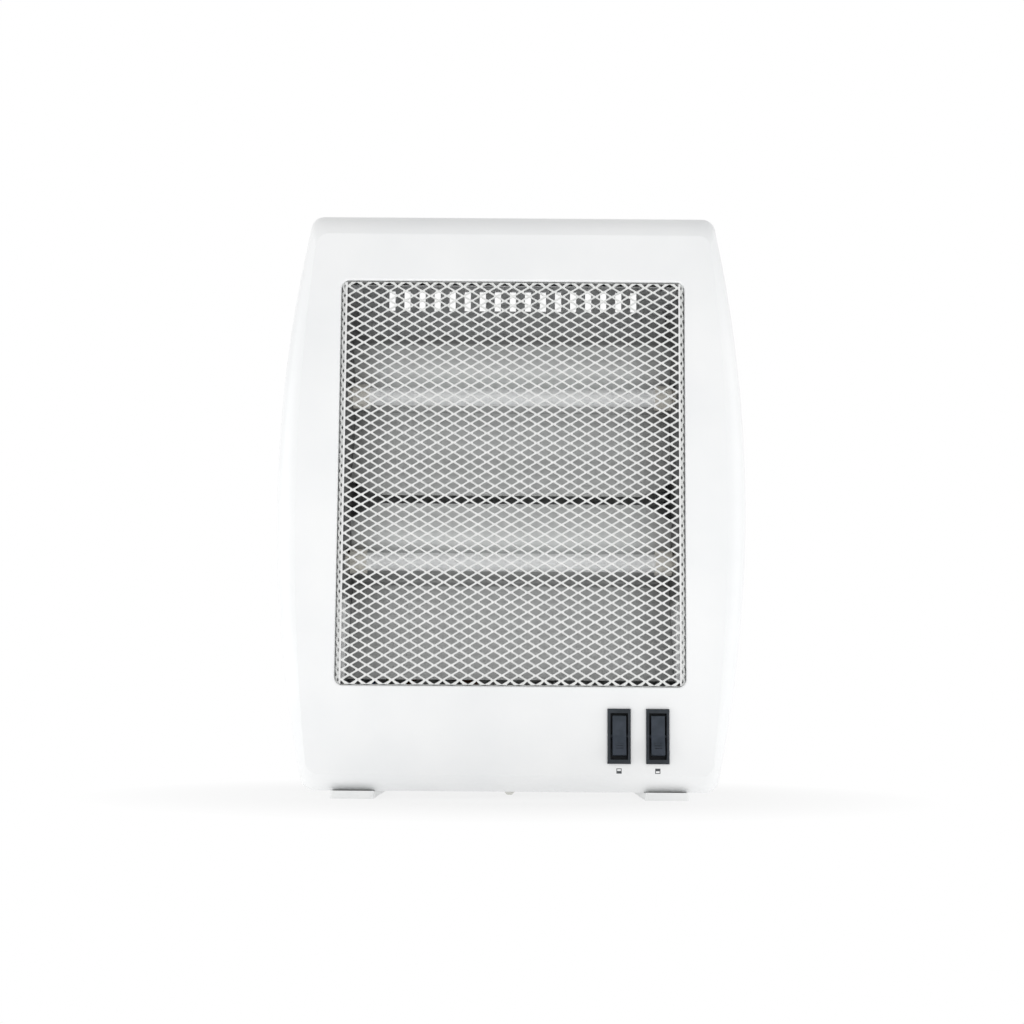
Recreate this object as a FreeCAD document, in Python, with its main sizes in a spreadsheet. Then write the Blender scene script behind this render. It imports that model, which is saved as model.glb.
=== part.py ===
"""Halogen heater: two quartz tubes behind a mesh guard in a moulded case that stands on two feet.

The heater faces -Y, +X is its right as seen from the front, and Z = 0 is the floor under its feet.
Lengths are millimetres and angles are degrees.
"""
import FreeCAD
import Part
import Sketcher
import math
import os
from FreeCAD import Vector

SIZES = {
    # Moulded case: widths across the bulged sides, heights above the floor, depths behind the face.
    "case_width": 280.8,
    "case_end_width": 243.0,
    "case_top": 350.0,
    "case_corner": 8.0,
    "face_width": 256.0,
    "face_end_width": 236.0,
    "shoulder_depth": 15.0,
    "shoulder_top": 14.0,
    "shoulder_bottom": 10.0,
    "frame_depth": 42.0,
    "wall": 2.5,
    # Window in the face with its return wall.
    "window_width": 206.0,
    "window_height": 242.0,
    "window_sill": 65.5,
    "window_corner": 5.0,
    "window_edge": 1.0,
    "return_depth": 12.0,
    "return_wall": 2.0,
    # Rear cover.
    "cover_step": 0.8,
    "cover_straight": 36.0,
    "cover_taper": 5.0,
    "cover_round": 16.0,
    "cover_round_side": 10.0,
    "cover_round_top": 12.0,
    "cover_round_bottom": 8.0,
    "vent_width": 4.0,
    "vent_height": 13.0,
    "vent_pitch": 9.85,
    "vent_sill": 310.5,
    "intake_sill": 26.0,
    "intake_height": 22.0,
    # Mesh guard, a folded tray.
    "guard_recess": 1.6,
    "guard_sheet": 0.8,
    "guard_side_gap": 3.2,
    "guard_end_gap": 0.9,
    "guard_fit": 0.4,
    "guard_rim": 3.0,
    "guard_rim_stop": 14.0,
    "mesh_long": 19.8,
    "mesh_short": 11.3,
    "strand": 1.2,
    # End plates that carry the tubes and reflectors.
    "plate_inside": 98.0,
    "plate_sheet": 1.0,
    "plate_flange": 17.0,
    "plate_depth": 62.0,
    "plate_bottom": 69.0,
    "plate_top": 302.0,
    "chassis_screw_offset": 110.0,
    "chassis_screw_low": 80.0,
    "chassis_screw_high": 294.0,
    "chassis_boss": 7.0,
    # Reflectors, two pressed troughs.
    "reflector_lip": 24.0,
    "reflector_trough": 30.0,
    "reflector_sheet": 0.8,
    "reflector_bend": 2.5,
    "reflector_fit": 0.25,
    "reflector_notch_long": 20.0,
    "reflector_notch_high": 9.0,
    "upper_reflector_top": 279.0,
    "lower_reflector_bottom": 69.5,
    "upper_valley_drop": 6.0,
    "lower_valley_drop": 10.5,
    "reflector_seam_gap": 5.0,
    # Quartz tubes with their coils and ceramic caps.
    "tube_depth": 35.0,
    "upper_tube_height": 243.0,
    "lower_tube_height": 141.0,
    "tube_diameter": 11.0,
    "tube_wall": 1.2,
    "tube_length": 190.0,
    "coil_diameter": 4.6,
    "coil_length": 168.0,
    "coil_leg": 1.8,
    "coil_leg_out": 12.5,
    "cap_diameter": 15.0,
    "cap_inner": 10.0,
    "cap_outer": 8.5,
    "cap_neck": 11.4,
    "cap_tube_fit": 0.15,
    "cap_slot_fit": 0.3,
    "cap_leg_fit": 0.2,
    # Rocker switches.
    "switch_height": 37.0,
    "left_switch_offset": 63.5,
    "right_switch_offset": 86.0,
    "bezel_width": 13.5,
    "bezel_height": 31.8,
    "bezel_proud": 2.0,
    "bezel_edge": 0.7,
    "switch_width": 12.2,
    "switch_length": 28.6,
    "switch_depth": 16.0,
    "switch_fit": 0.2,
    "well_width": 10.2,
    "well_length": 26.8,
    "well_depth": 8.0,
    "pivot_depth": 1.0,
    "rocker_width": 7.85,
    "rocker_length": 22.7,
    "rocker_tip": 5.4,
    "rocker_dip": 4.0,
    "rocker_skirt": 0.5,
    "rocker_back": 3.4,
    "rocker_back_length": 8.0,
    "rocker_edge": 0.6,
    "rocker_tilt": 8.0,
    "rocker_groove": 0.5,
    "rocker_groove_long": 4.4,
    "rocker_groove_pitch": 1.5,
    "rocker_groove_sink": 0.4,
    "rocker_pin": 2.4,
    "rocker_pin_fit": 0.05,
    "rocker_pin_reach": 0.7,
    "blade_width": 4.8,
    "blade_sheet": 0.8,
    "blade_length": 8.0,
    "blade_offset": 8.0,
    # Feet.
    "foot_drop": 4.0,
    "foot_offset": 91.5,
    "foot_width": 25.0,
    "foot_front": 0.8,
    "foot_rear": 118.0,
    "foot_lip": 4.6,
    "foot_lip_sheet": 1.3,
    "foot_lip_root": 7.0,
    "foot_hump": 11.0,
    "foot_hump_flat": 2.5,
    "foot_hump_gap": 2.5,
    "foot_hump_root": 8.5,
    "foot_toe": 2.5,
    "foot_edge": 1.5,
    "foot_screw_front": 28.0,
    "foot_screw_back": 76.0,
    "foot_boss_height": 9.0,
    # Fasteners.
    "screw_shank": 3.0,
    "screw_head": 5.8,
    "screw_head_height": 2.0,
    "screw_fit": 0.2,
    "pilot_fit": 0.05,
    "boss_wall": 2.4,
    "case_screw_offset": 102.0,
    "case_screw_low": 26.0,
    "case_screw_high": 316.0,
    "case_screw_length": 15.0,
    "case_well_floor": 3.0,
    "case_well_fit": 0.6,
    "chassis_screw_length": 9.0,
    "foot_screw_length": 8.5,
    # Thermal cut-out on the right end plate.
    "cutout_depth": 58.0,
    "cutout_height": 192.0,
    "cutout_diameter": 15.6,
    "cutout_body": 9.0,
    "cutout_flange": 0.8,
    "cutout_flange_length": 30.0,
    "cutout_flange_width": 11.0,
    "cutout_screw_pitch": 23.6,
    "cutout_screw_length": 5.0,
    "cutout_blade_offset": 4.0,
    # Tip-over switch.
    "tip_depth": 62.0,
    "tip_body_width": 18.0,
    "tip_body_height": 26.0,
    "tip_roof": 3.0,
    "tip_bore": 12.0,
    "tip_ear": 9.0,
    "tip_ear_thick": 3.0,
    "tip_boss_height": 5.0,
    "tip_screw_length": 7.0,
    "tip_blade_offset": 5.0,
    "plunger_diameter": 6.0,
    "plunger_collar": 11.0,
    "plunger_collar_height": 2.0,
    "plunger_nose": 1.5,
    "plunger_stem": 3.0,
    "plunger_stem_height": 6.0,
    "plunger_travel": 6.0,
    "plunger_fit": 0.5,
    "plunger_stop_gap": 0.4,
    "spring_wire": 0.8,
    "spring_diameter": 8.0,
    "spring_turns": 5.0,
    "spring_gap": 0.1,
    # Terminal block and cord gland in the rear cover.
    "block_offset": 76.0,
    "block_height": 52.0,
    "block_length": 30.0,
    "block_width": 16.0,
    "block_thick": 12.0,
    "block_pole_pitch": 10.0,
    "block_boss_height": 5.0,
    "block_screw_length": 14.0,
    "clamp_diameter": 4.8,
    "clamp_wall": 0.9,
    "clamp_length": 14.0,
    "clamp_fit": 0.1,
    "clamp_screw": 3.2,
    "clamp_screw_offset": 4.4,
    "clamp_screw_sink": 1.0,
    "gland_offset": 76.0,
    "gland_height": 27.0,
    "gland_bore": 7.4,
    "gland_body": 10.8,
    "gland_fit": 0.2,
    "gland_flange": 15.0,
    "gland_flange_thick": 2.2,
    "gland_ring": 13.0,
    "gland_ring_thick": 3.0,
    # Internal leads.
    "lead_diameter": 2.4,
    "lead_gap": 0.1,
    # How far a cutting form runs past what it cuts.
    "overrun": 1.0,
}
# The shoulder's fall from the side wall to the face: a parabola through three outlines.
SHOULDER_DEPTH_SHARES = (0.0, 0.36, 1.0)
SHOULDER_INSET_SHARES = (1.0, 0.27, 0.0)
# The seam between the reflectors, as a share of the way from the lower tube up to the upper one.
REFLECTOR_SEAM_SHARE = 37 / 102
VENT_COUNT = 17
INTAKE_COUNT = 9
POLE_COUNT = 3
GROOVE_COUNT = 3
GROOVE_MIDDLE_SHARE = 0.53
# A mesh opening cut down below this share of a whole one by the guard's border stays closed.
LEAST_OPENING_SHARE = 0.12

doc = FreeCAD.newDocument("halogen_heater")
sheet = doc.addObject("Spreadsheet::Sheet", "sizes")
for row, (alias, number) in enumerate(SIZES.items(), start=1):
    sheet.set(f"A{row}", str(number))
    sheet.setAlias(f"A{row}", alias)
doc.recompute()


class Size:
    """A length worked out from the sheet: text to bind a property with, and its value now."""

    def __init__(self, text):
        self.text = text

    def joined(self, sign, other, flipped=False):
        """This size and another joined by an arithmetic sign."""
        pair = [self.text, text_of(other)]
        if flipped:
            pair.reverse()
        return Size(f"({pair[0]} {sign} {pair[1]})")

    def __add__(self, other):
        return self.joined("+", other)

    def __radd__(self, other):
        return self.joined("+", other, True)

    def __sub__(self, other):
        return self.joined("-", other)

    def __rsub__(self, other):
        return self.joined("-", other, True)

    def __mul__(self, other):
        return self.joined("*", other)

    def __rmul__(self, other):
        return self.joined("*", other, True)

    def __truediv__(self, other):
        return self.joined("/", other)

    def __neg__(self):
        return Size(f"(-1 * {self.text})")

    @property
    def value(self):
        """The number that the size has with the sheet as it stands."""
        return float(sheet.evalExpression(self.text))


def text_of(number):
    """The expression text of a size or of a plain number."""
    return number.text if isinstance(number, Size) else f"({number!r})"


def value_of(number):
    """The value of a size or of a plain number."""
    return number.value if isinstance(number, Size) else float(number)


class Sheet:
    """The cells of the sheet, by alias."""

    def __getattr__(self, alias):
        if alias not in SIZES:
            raise AttributeError(alias)
        return Size(f"sizes.{alias}")


s = Sheet()

# Places that several pieces share.
tilt_cosine = Size("cos(sizes.rocker_tilt * 1 deg)")
tilt_sine = Size("sin(sizes.rocker_tilt * 1 deg)")
rocker_reach = (
    (s.rocker_tip - s.rocker_edge) * tilt_cosine
    + (s.rocker_length / 2 - s.rocker_edge) * tilt_sine
    + s.rocker_edge
    - s.pivot_depth
)
face_y = (rocker_reach - s.foot_rear) / 2
part_y = face_y + s.frame_depth
shoulder_y = part_y + s.cover_straight
back_y = shoulder_y + s.cover_round
window_top = s.window_sill + s.window_height
window_middle = s.window_sill + s.window_height / 2
return_y = face_y + s.return_depth
flange_y = return_y + s.guard_sheet
tube_y = face_y + s.tube_depth
plate_outside = s.plate_inside + s.plate_sheet
floor_z = s.foot_drop + s.wall
pilot_diameter = s.screw_shank + 2 * s.pilot_fit
clear_diameter = s.screw_shank + 2 * s.screw_fit
boss_diameter = pilot_diameter + 2 * s.boss_wall


def bind(item, path, size):
    """Ties a property of an object to a size."""
    item.setExpression(path, text_of(size))


def place(item, x=0, y=0, z=0, axis=None, angle=None):
    """Puts a whole piece at its place in the heater, turned about an axis where one is given."""
    turn = FreeCAD.Rotation() if axis is None else FreeCAD.Rotation(axis, value_of(angle))
    item.Placement = FreeCAD.Placement(Vector(value_of(x), value_of(y), value_of(z)), turn)
    for path, size in (("x", x), ("y", y), ("z", z)):
        bind(item, f"Placement.Base.{path}", size)
    if isinstance(angle, Size):
        bind(item, "Placement.Rotation.Angle", angle)


def new_body(name):
    """An empty body for one piece."""
    body = doc.addObject("PartDesign::Body", name)
    body.Label = name
    return body


def new_sketch(body, name, plane, x=0, y=0, z=0):
    """A sketch on a plane of the body's own origin, with its zero point at x, y, z of the body."""
    sketch = body.newObject("Sketcher::SketchObject", name)
    origin_plane = next(f for f in body.Origin.OriginFeatures if f.Role == f"{plane}_Plane")
    sketch.AttachmentSupport = [(origin_plane, "")]
    sketch.MapMode = "FlatFace"
    offsets = {"XY": (x, y, z), "XZ": (x, z, -y), "YZ": (y, z, x)}[plane]
    for path, size in zip("xyz", offsets):
        bind(sketch, f"AttachmentOffset.Base.{path}", size)
    return sketch


def fix(sketch, kind, *places):
    """Adds a constraint, and ties it to its size where the last entry is one."""
    *references, last = places
    if isinstance(last, Size):
        index = sketch.addConstraint(Sketcher.Constraint(kind, *references, last.value))
        bind(sketch, f"Constraints[{index}]", last)
    else:
        sketch.addConstraint(Sketcher.Constraint(kind, *places))


def polygon(sketch, points):
    """A closed outline through points given as pairs of sizes."""
    first = sketch.GeometryCount
    count = len(points)
    spots = [Vector(value_of(u), value_of(v), 0) for u, v in points]
    for i in range(count):
        sketch.addGeometry(Part.LineSegment(spots[i], spots[(i + 1) % count]), False)
    for i in range(count):
        fix(sketch, "Coincident", first + i, 2, first + (i + 1) % count, 1)
    for i, (u, v) in enumerate(points):
        for kind, size in (("DistanceX", u), ("DistanceY", v)):
            if isinstance(size, Size):
                fix(sketch, kind, -1, 1, first + i, 1, size)
            else:
                fix(sketch, "PointOnObject", first + i, 1, -2 if kind == "DistanceX" else -1)
    return sketch


def rectangle(sketch, width, height):
    """A rectangle about the sketch's zero point."""
    half_width = width / 2
    half_height = height / 2
    corners = ((-1, -1), (1, -1), (1, 1), (-1, 1))
    return polygon(sketch, [(sign_u * half_width, sign_v * half_height) for sign_u, sign_v in corners])


def circle(sketch, diameter):
    """A circle about the sketch's zero point."""
    index = sketch.addGeometry(Part.Circle(Vector(), Vector(0, 0, 1), diameter.value / 2), False)
    fix(sketch, "Coincident", index, 3, -1, 1)
    fix(sketch, "Diameter", index, diameter)
    return sketch


def circles(sketch, spots, diameter):
    """Equal circles at spots given as pairs of sizes."""
    first = None
    for u, v in spots:
        centre = Vector(value_of(u), value_of(v), 0)
        index = sketch.addGeometry(Part.Circle(centre, Vector(0, 0, 1), diameter.value / 2), False)
        if first is None:
            first = index
            fix(sketch, "Diameter", index, diameter)
        else:
            fix(sketch, "Equal", first, index)
        for kind, size in (("DistanceX", u), ("DistanceY", v)):
            if isinstance(size, Size):
                fix(sketch, kind, -1, 1, index, 3, size)
            else:
                fix(sketch, "PointOnObject", index, 3, -2 if kind == "DistanceX" else -1)
    return sketch


def arc_between(middle, radius, start, end):
    """A counter-clockwise arc about a middle, between two angles."""
    ring = Part.Circle(Vector(middle[0], middle[1], 0), Vector(0, 0, 1), radius)
    return Part.ArcOfCircle(ring, start, end)


def bulged_outline(sketch, width, end_width, height, corner):
    """A rounded outline about the sketch's zero point whose upright sides bulge outwards."""
    half = height / 2
    bulge = (width - end_width) / 2
    side_radius = (half * half + bulge * bulge) / (2 * bulge)
    middle = width / 2 - side_radius
    big = side_radius.value
    small = corner.value
    hub = middle.value
    top = half.value
    reach = math.sqrt((big - small) ** 2 - (top - small) ** 2)
    corner_x = hub + reach
    corner_z = top - small
    lean = math.atan2(corner_z, reach)
    quarter = math.pi / 2
    full = 2 * math.pi
    outline = [
        Part.LineSegment(Vector(corner_x, top, 0), Vector(-corner_x, top, 0)),
        arc_between((-corner_x, corner_z), small, quarter, math.pi - lean),
        arc_between((-hub, 0), big, math.pi - lean, math.pi + lean),
        arc_between((-corner_x, -corner_z), small, math.pi + lean, 3 * quarter),
        Part.LineSegment(Vector(-corner_x, -top, 0), Vector(corner_x, -top, 0)),
        arc_between((corner_x, -corner_z), small, 3 * quarter, full - lean),
        arc_between((hub, 0), big, -lean, lean),
        arc_between((corner_x, corner_z), small, lean, quarter),
    ]
    edges = [sketch.addGeometry(edge, False) for edge in outline]
    for i, edge in enumerate(edges):
        fix(sketch, "Tangent", edge, 2, edges[(i + 1) % len(edges)], 1)
    top_line, _, left_side, _, bottom_line, _, right_side, top_corner = edges
    fix(sketch, "Horizontal", top_line)
    fix(sketch, "Horizontal", bottom_line)
    fix(sketch, "PointOnObject", right_side, 3, -1)
    fix(sketch, "Symmetric", right_side, 3, left_side, 3, -2)
    fix(sketch, "Equal", right_side, left_side)
    for edge in (edges[1], edges[3], edges[5]):
        fix(sketch, "Equal", top_corner, edge)
    fix(sketch, "Radius", right_side, side_radius)
    fix(sketch, "DistanceX", -1, 1, right_side, 3, middle)
    fix(sketch, "Radius", top_corner, corner)
    fix(sketch, "DistanceY", -1, 1, top_line, 1, half)
    fix(sketch, "DistanceY", -1, 1, bottom_line, 1, -half)
    return sketch


def rounded_rectangle(sketch, width, height, corner):
    """A rectangle with rounded corners about the sketch's zero point."""
    small = corner.value
    across = width.value / 2 - small
    up = height.value / 2 - small
    quarter = math.pi / 2
    edges = []
    signs = ((1, 1), (-1, 1), (-1, -1), (1, -1))
    for i, (sign_x, sign_z) in enumerate(signs):
        bend = arc_between((sign_x * across, sign_z * up), small, i * quarter, (i + 1) * quarter)
        edges.append(sketch.addGeometry(bend, False))
        following = signs[(i + 1) % len(signs)]
        outward = Vector(math.cos((i + 1) * quarter), math.sin((i + 1) * quarter), 0) * small
        start = Vector(sign_x * across, sign_z * up, 0) + outward
        end = Vector(following[0] * across, following[1] * up, 0) + outward
        edges.append(sketch.addGeometry(Part.LineSegment(start, end), False))
    for i, edge in enumerate(edges):
        fix(sketch, "Tangent", edge, 2, edges[(i + 1) % len(edges)], 1)
    first_bend, top_line, _, left_line, _, bottom_line, _, right_line = edges
    for line in (top_line, bottom_line):
        fix(sketch, "Horizontal", line)
    for bend in edges[2::2]:
        fix(sketch, "Equal", first_bend, bend)
    fix(sketch, "Radius", first_bend, corner)
    fix(sketch, "DistanceY", -1, 1, top_line, 1, height / 2)
    fix(sketch, "DistanceY", -1, 1, bottom_line, 1, -(height / 2))
    fix(sketch, "DistanceX", -1, 1, left_line, 1, -(width / 2))
    fix(sketch, "DistanceX", -1, 1, right_line, 1, width / 2)
    return sketch


def feature(kind, body, sketch, length, backwards=False, both_ways=False):
    """A pad or pocket of a sketch, to a length bound to a size."""
    made = body.newObject(f"PartDesign::{kind}", f"{sketch.Name}_{kind.lower()}")
    made.Profile = sketch
    bind(made, "Length", length)
    made.Reversed = backwards
    if both_ways:
        made.SideType = "Symmetric"
    sketch.Visibility = False
    return made


def pad(body, sketch, length, **ways):
    """Adds a sketch's prism."""
    return feature("Pad", body, sketch, length, **ways)


def pocket(body, sketch, length, **ways):
    """Cuts a sketch's prism, and makes sure that it cut something."""
    before = settled_volume(body)
    made = feature("Pocket", body, sketch, length, **ways)
    if not settled_volume(body) < before:
        raise RuntimeError(f"{made.Name} cuts nothing")
    return made


def settled_volume(body):
    """The volume of a body once it is up to date."""
    doc.recompute()
    return body.Shape.Volume


def loft(body, kind, name, sketches, ruled=False):
    """Adds or cuts a loft through sketches."""
    made = body.newObject(f"PartDesign::{kind}Loft", name)
    made.Profile = sketches[0]
    made.Sections = sketches[1:]
    made.Ruled = ruled
    return made


def revolution(body, sketch, axis="H_Axis"):
    """Turns a sketch about one of its own axes, the level one unless told."""
    made = body.newObject("PartDesign::Revolution", f"{sketch.Name}_turned")
    made.Profile = sketch
    made.ReferenceAxis = (sketch, [axis])
    made.Angle = 360
    return made


def row_of(body, original, axis, count, span):
    """Repeats a feature along an axis of the body, the first and last copy a span apart."""
    made = body.newObject("PartDesign::LinearPattern", f"{original.Name}_row")
    made.Originals = [original]
    made.Direction = (next(f for f in body.Origin.OriginFeatures if f.Role == f"{axis}_Axis"), [""])
    made.Occurrences = count
    bind(made, "Length", span)
    body.Tip = made
    return made


def dress(body, kind, name, size, wanted):
    """A fillet or chamfer on the edges of the body that pass a test."""
    doc.recompute()
    tip = body.Tip
    names = [f"Edge{i}" for i, edge in enumerate(tip.Shape.Edges, start=1) if wanted(edge)]
    if not names:
        raise RuntimeError(f"{name} finds no edge")
    made = body.newObject(f"PartDesign::{kind}", name)
    made.Base = (tip, names)
    bind(made, "Radius" if kind == "Fillet" else "Size", size)
    return made


def runs_along(edge, axis):
    """Whether an edge is straight and parallel to an axis."""
    if edge.Curve.TypeId != "Part::GeomLine":
        return False
    return abs(abs(edge.Curve.Direction.dot(axis)) - 1) < NEARLY


NEARLY = 1e-6
ALONG_X = Vector(1, 0, 0)
ALONG_Y = Vector(0, 1, 0)
ALONG_Z = Vector(0, 0, 1)


def near(number, size, slack):
    """Whether a number lies within a slack of a size."""
    return abs(number - size.value) < slack.value


def round_pads(body, name, plane, level, spots, diameter, length, **ways):
    """Equal round pads on a plane at a level of the body."""
    sketch = new_sketch(body, name, plane, **{LEVEL_AXIS[plane]: level})
    return pad(body, circles(sketch, spots, diameter), length, **ways)


def round_holes(body, name, plane, level, spots, diameter, depth, **ways):
    """Equal round holes from a plane at a level of the body."""
    sketch = new_sketch(body, name, plane, **{LEVEL_AXIS[plane]: level})
    return pocket(body, circles(sketch, spots, diameter), depth, **ways)


def foot_bosses(body, name, depth):
    """The bosses on the case floor over both feet, with pilot holes from below."""
    spots = [(sign * s.foot_offset, face_y + depth) for sign in (-1, 1)]
    low = s.foot_drop + s.wall / 2
    round_pads(body, f"{name}_bosses", "XY", low, spots, boss_diameter, s.foot_boss_height - s.wall / 2)
    sunk = s.foot_screw_length - s.foot_drop + s.screw_head_height + 2 * s.screw_fit
    round_holes(body, f"{name}_pilots", "XY", s.foot_drop, spots, pilot_diameter, sunk, backwards=True)


LEVEL_AXIS = {"XY": "z", "XZ": "y", "YZ": "x"}


def screw(name, x, y, z, axis, angle, length):
    """A pan-head screw whose head seats at x, y, z, its shank down its own -Z before it is turned."""
    head = doc.addObject("Part::Cylinder", f"{name}_head")
    bind(head, "Radius", s.screw_head / 2)
    bind(head, "Height", s.screw_head_height)
    shank = doc.addObject("Part::Cylinder", f"{name}_shank")
    bind(shank, "Radius", s.screw_shank / 2)
    bind(shank, "Height", length)
    bind(shank, "Placement.Base.z", -length)
    whole = doc.addObject("Part::Fuse", name)
    whole.Base = head
    whole.Tool = shank
    place(whole, x, y, z, axis, angle)
    return whole


def blade(name, x, y, z, length, width, height):
    """A flat blade terminal with its low corner at x, y, z."""
    made = doc.addObject("Part::Box", name)
    bind(made, "Length", length)
    bind(made, "Width", width)
    bind(made, "Height", height)
    place(made, x, y, z)
    return made


def rod(name, diameter, length, x, y, z, axis, angle):
    """A plain round rod along its own Z before it is turned."""
    made = doc.addObject("Part::Cylinder", name)
    bind(made, "Radius", diameter / 2)
    bind(made, "Height", length)
    place(made, x, y, z, axis, angle)
    return made


def group(name, items):
    """Separate solids of one kind kept together as one piece list entry."""
    made = doc.addObject("Part::Compound", name)
    made.Label = name
    made.Links = items
    return made


# Front frame: a hollow moulding, its face at the front and its open back on the parting line.
frame = new_body("front_frame")


def shoulder_outline(body, name, inset_share, depth_share, inset):
    """One outline of the frame's shoulder, drawn in by a wall where the inset is one."""
    low = s.foot_drop + inset_share * s.shoulder_bottom + inset
    high = s.case_top - inset_share * s.shoulder_top - inset
    width = s.case_width - inset_share * (s.case_width - s.face_width) - 2 * inset
    end_width = s.case_end_width - inset_share * (s.case_end_width - s.face_end_width) - 2 * inset
    y = face_y + depth_share * s.shoulder_depth + inset
    sketch = new_sketch(body, name, "XZ", 0, y, (low + high) / 2)
    return bulged_outline(sketch, width, end_width, high - low, s.case_corner - inset)


def shoulder_outlines(body, name, inset):
    """The outlines from the face back to the straight side wall."""
    shares = zip(SHOULDER_INSET_SHARES, SHOULDER_DEPTH_SHARES)
    return [shoulder_outline(body, f"{name}_{i}", *share, inset) for i, share in enumerate(shares)]


outside = shoulder_outlines(frame, "frame_outside", Size("0"))
loft(frame, "Additive", "frame_shoulder", outside)
pad(frame, outside[-1], s.frame_depth - s.shoulder_depth, backwards=True)
inside = shoulder_outlines(frame, "frame_inside", s.wall)
loft(frame, "Subtractive", "frame_hollow", inside)
pocket(frame, inside[-1], s.frame_depth - s.shoulder_depth)
return_outline = new_sketch(frame, "return_outline", "XZ", 0, return_y, window_middle)
rounded_rectangle(
    return_outline,
    s.window_width + 2 * s.return_wall,
    s.window_height + 2 * s.return_wall,
    s.window_corner + s.return_wall,
)
pad(frame, return_outline, s.return_depth - s.wall / 2)
window = new_sketch(frame, "window", "XZ", 0, face_y, window_middle)
rounded_rectangle(window, s.window_width, s.window_height, s.window_corner)
pocket(frame, window, s.return_depth + s.overrun)
for side, offset in (("left", s.left_switch_offset), ("right", s.right_switch_offset)):
    opening = new_sketch(frame, f"{side}_switch_opening", "XZ", offset, face_y, s.switch_height)
    rectangle(opening, s.switch_width + 2 * s.switch_fit, s.switch_length + 2 * s.switch_fit)
    pocket(frame, opening, s.wall + s.overrun)
CASE_SCREWS = [
    (sign * s.case_screw_offset, height)
    for height in (s.case_screw_low, s.case_screw_high)
    for sign in (-1, 1)
]
case_pilot = s.case_screw_length - s.case_well_floor + s.overrun
boss_length = s.frame_depth - s.wall / 2
round_pads(frame, "case_bosses", "XZ", part_y, CASE_SCREWS, boss_diameter, boss_length)
round_holes(frame, "case_pilots", "XZ", part_y, CASE_SCREWS, pilot_diameter, case_pilot, backwards=True)
chassis_screw_middle = (s.chassis_screw_low + s.chassis_screw_high) / 2
chassis_heights = (s.chassis_screw_low, chassis_screw_middle, s.chassis_screw_high)
CHASSIS_SCREWS = {
    side: [(sign * s.chassis_screw_offset, height) for height in chassis_heights]
    for side, sign in (("left", -1), ("right", 1))
}
chassis_spots = CHASSIS_SCREWS["left"] + CHASSIS_SCREWS["right"]
chassis_rise = s.return_depth + s.guard_sheet - s.wall / 2
chassis_pilot = s.chassis_screw_length - s.plate_sheet + s.screw_fit
round_pads(frame, "chassis_bosses", "XZ", flange_y, chassis_spots, s.chassis_boss, chassis_rise)
round_holes(
    frame, "chassis_pilots", "XZ", flange_y, chassis_spots, pilot_diameter, chassis_pilot, backwards=True
)
foot_bosses(frame, "front_foot", s.foot_screw_front)
dress(
    frame,
    "Fillet",
    "window_rim",
    s.window_edge,
    lambda edge: all(near(v.Y, face_y, s.guard_fit) for v in edge.Vertexes)
    and abs(edge.CenterOfMass.x) < s.window_width.value / 2 + s.overrun.value
    and s.window_sill.value - s.overrun.value < edge.CenterOfMass.z < window_top.value + s.overrun.value,
)

# Rear cover: a tapered hollow moulding that closes the case from behind.
cover = new_body("rear_cover")


def cover_outline(body, name, y, side, top, bottom, inset):
    """One outline of the cover, drawn in at its sides, top and bottom from the widest outline."""
    low = s.foot_drop + bottom + inset
    high = s.case_top - top - inset
    across = 2 * (side + inset)
    sketch = new_sketch(body, name, "XZ", 0, y, (low + high) / 2)
    corner = s.case_corner - inset
    return bulged_outline(sketch, s.case_width - across, s.case_end_width - across, high - low, corner)


def cover_outlines(body, name, inset, behind):
    """The cover's outlines: at the parting line, at its shoulder, halfway round it and at its back."""
    step = s.cover_step
    shoulder = s.cover_step + s.cover_taper
    outlines = [cover_outline(body, f"{name}_rim", part_y, step, step, 0 * step, inset)]
    depth_shares = [1 - share for share in reversed(SHOULDER_DEPTH_SHARES)]
    for i, (inset_share, depth_share) in enumerate(zip(reversed(SHOULDER_INSET_SHARES), depth_shares)):
        outlines.append(
            cover_outline(
                body,
                f"{name}_{i}",
                shoulder_y + depth_share * s.cover_round - behind,
                shoulder + inset_share * s.cover_round_side,
                shoulder + inset_share * s.cover_round_top,
                inset_share * s.cover_round_bottom,
                inset,
            )
        )
    return outlines


rim, *bend = cover_outlines(cover, "cover_outside", Size("0"), Size("0"))
loft(cover, "Additive", "cover_skirt", [rim, bend[0]], ruled=True)
loft(cover, "Additive", "cover_back", bend)
rim, *bend = cover_outlines(cover, "cover_inside", s.wall, s.wall)
loft(cover, "Subtractive", "cover_hollow", [rim, bend[0]], ruled=True)
loft(cover, "Subtractive", "cover_back_hollow", bend)
vents = (
    ("vent", s.vent_sill, s.vent_height, VENT_COUNT),
    ("intake", s.intake_sill, s.intake_height, INTAKE_COUNT),
)
for name, sill, height, count in vents:
    span = (count - 1) * s.vent_pitch
    slot = new_sketch(cover, f"{name}_slot", "XZ", -span / 2, back_y, sill + height / 2)
    rectangle(slot, s.vent_width, height)
    row_of(cover, pocket(cover, slot, s.wall + s.overrun, backwards=True), "X", count, span)
well_diameter = s.screw_head + 2 * s.case_well_fit
cover_depth = s.cover_straight + s.cover_round
tower_diameter = well_diameter + 2 * s.wall
tower_length = cover_depth - s.wall / 2
round_pads(cover, "case_towers", "XZ", part_y, CASE_SCREWS, tower_diameter, tower_length, backwards=True)
round_holes(cover, "case_wells", "XZ", part_y + s.case_well_floor, CASE_SCREWS, well_diameter, cover_depth)
round_holes(
    cover,
    "case_screw_holes",
    "XZ",
    part_y - s.overrun,
    CASE_SCREWS,
    clear_diameter,
    s.case_well_floor + 2 * s.overrun,
)
foot_bosses(cover, "back_foot", s.foot_screw_back)
tip_y = face_y + s.tip_depth
plunger_bore = s.plunger_diameter + 2 * s.plunger_fit
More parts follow.
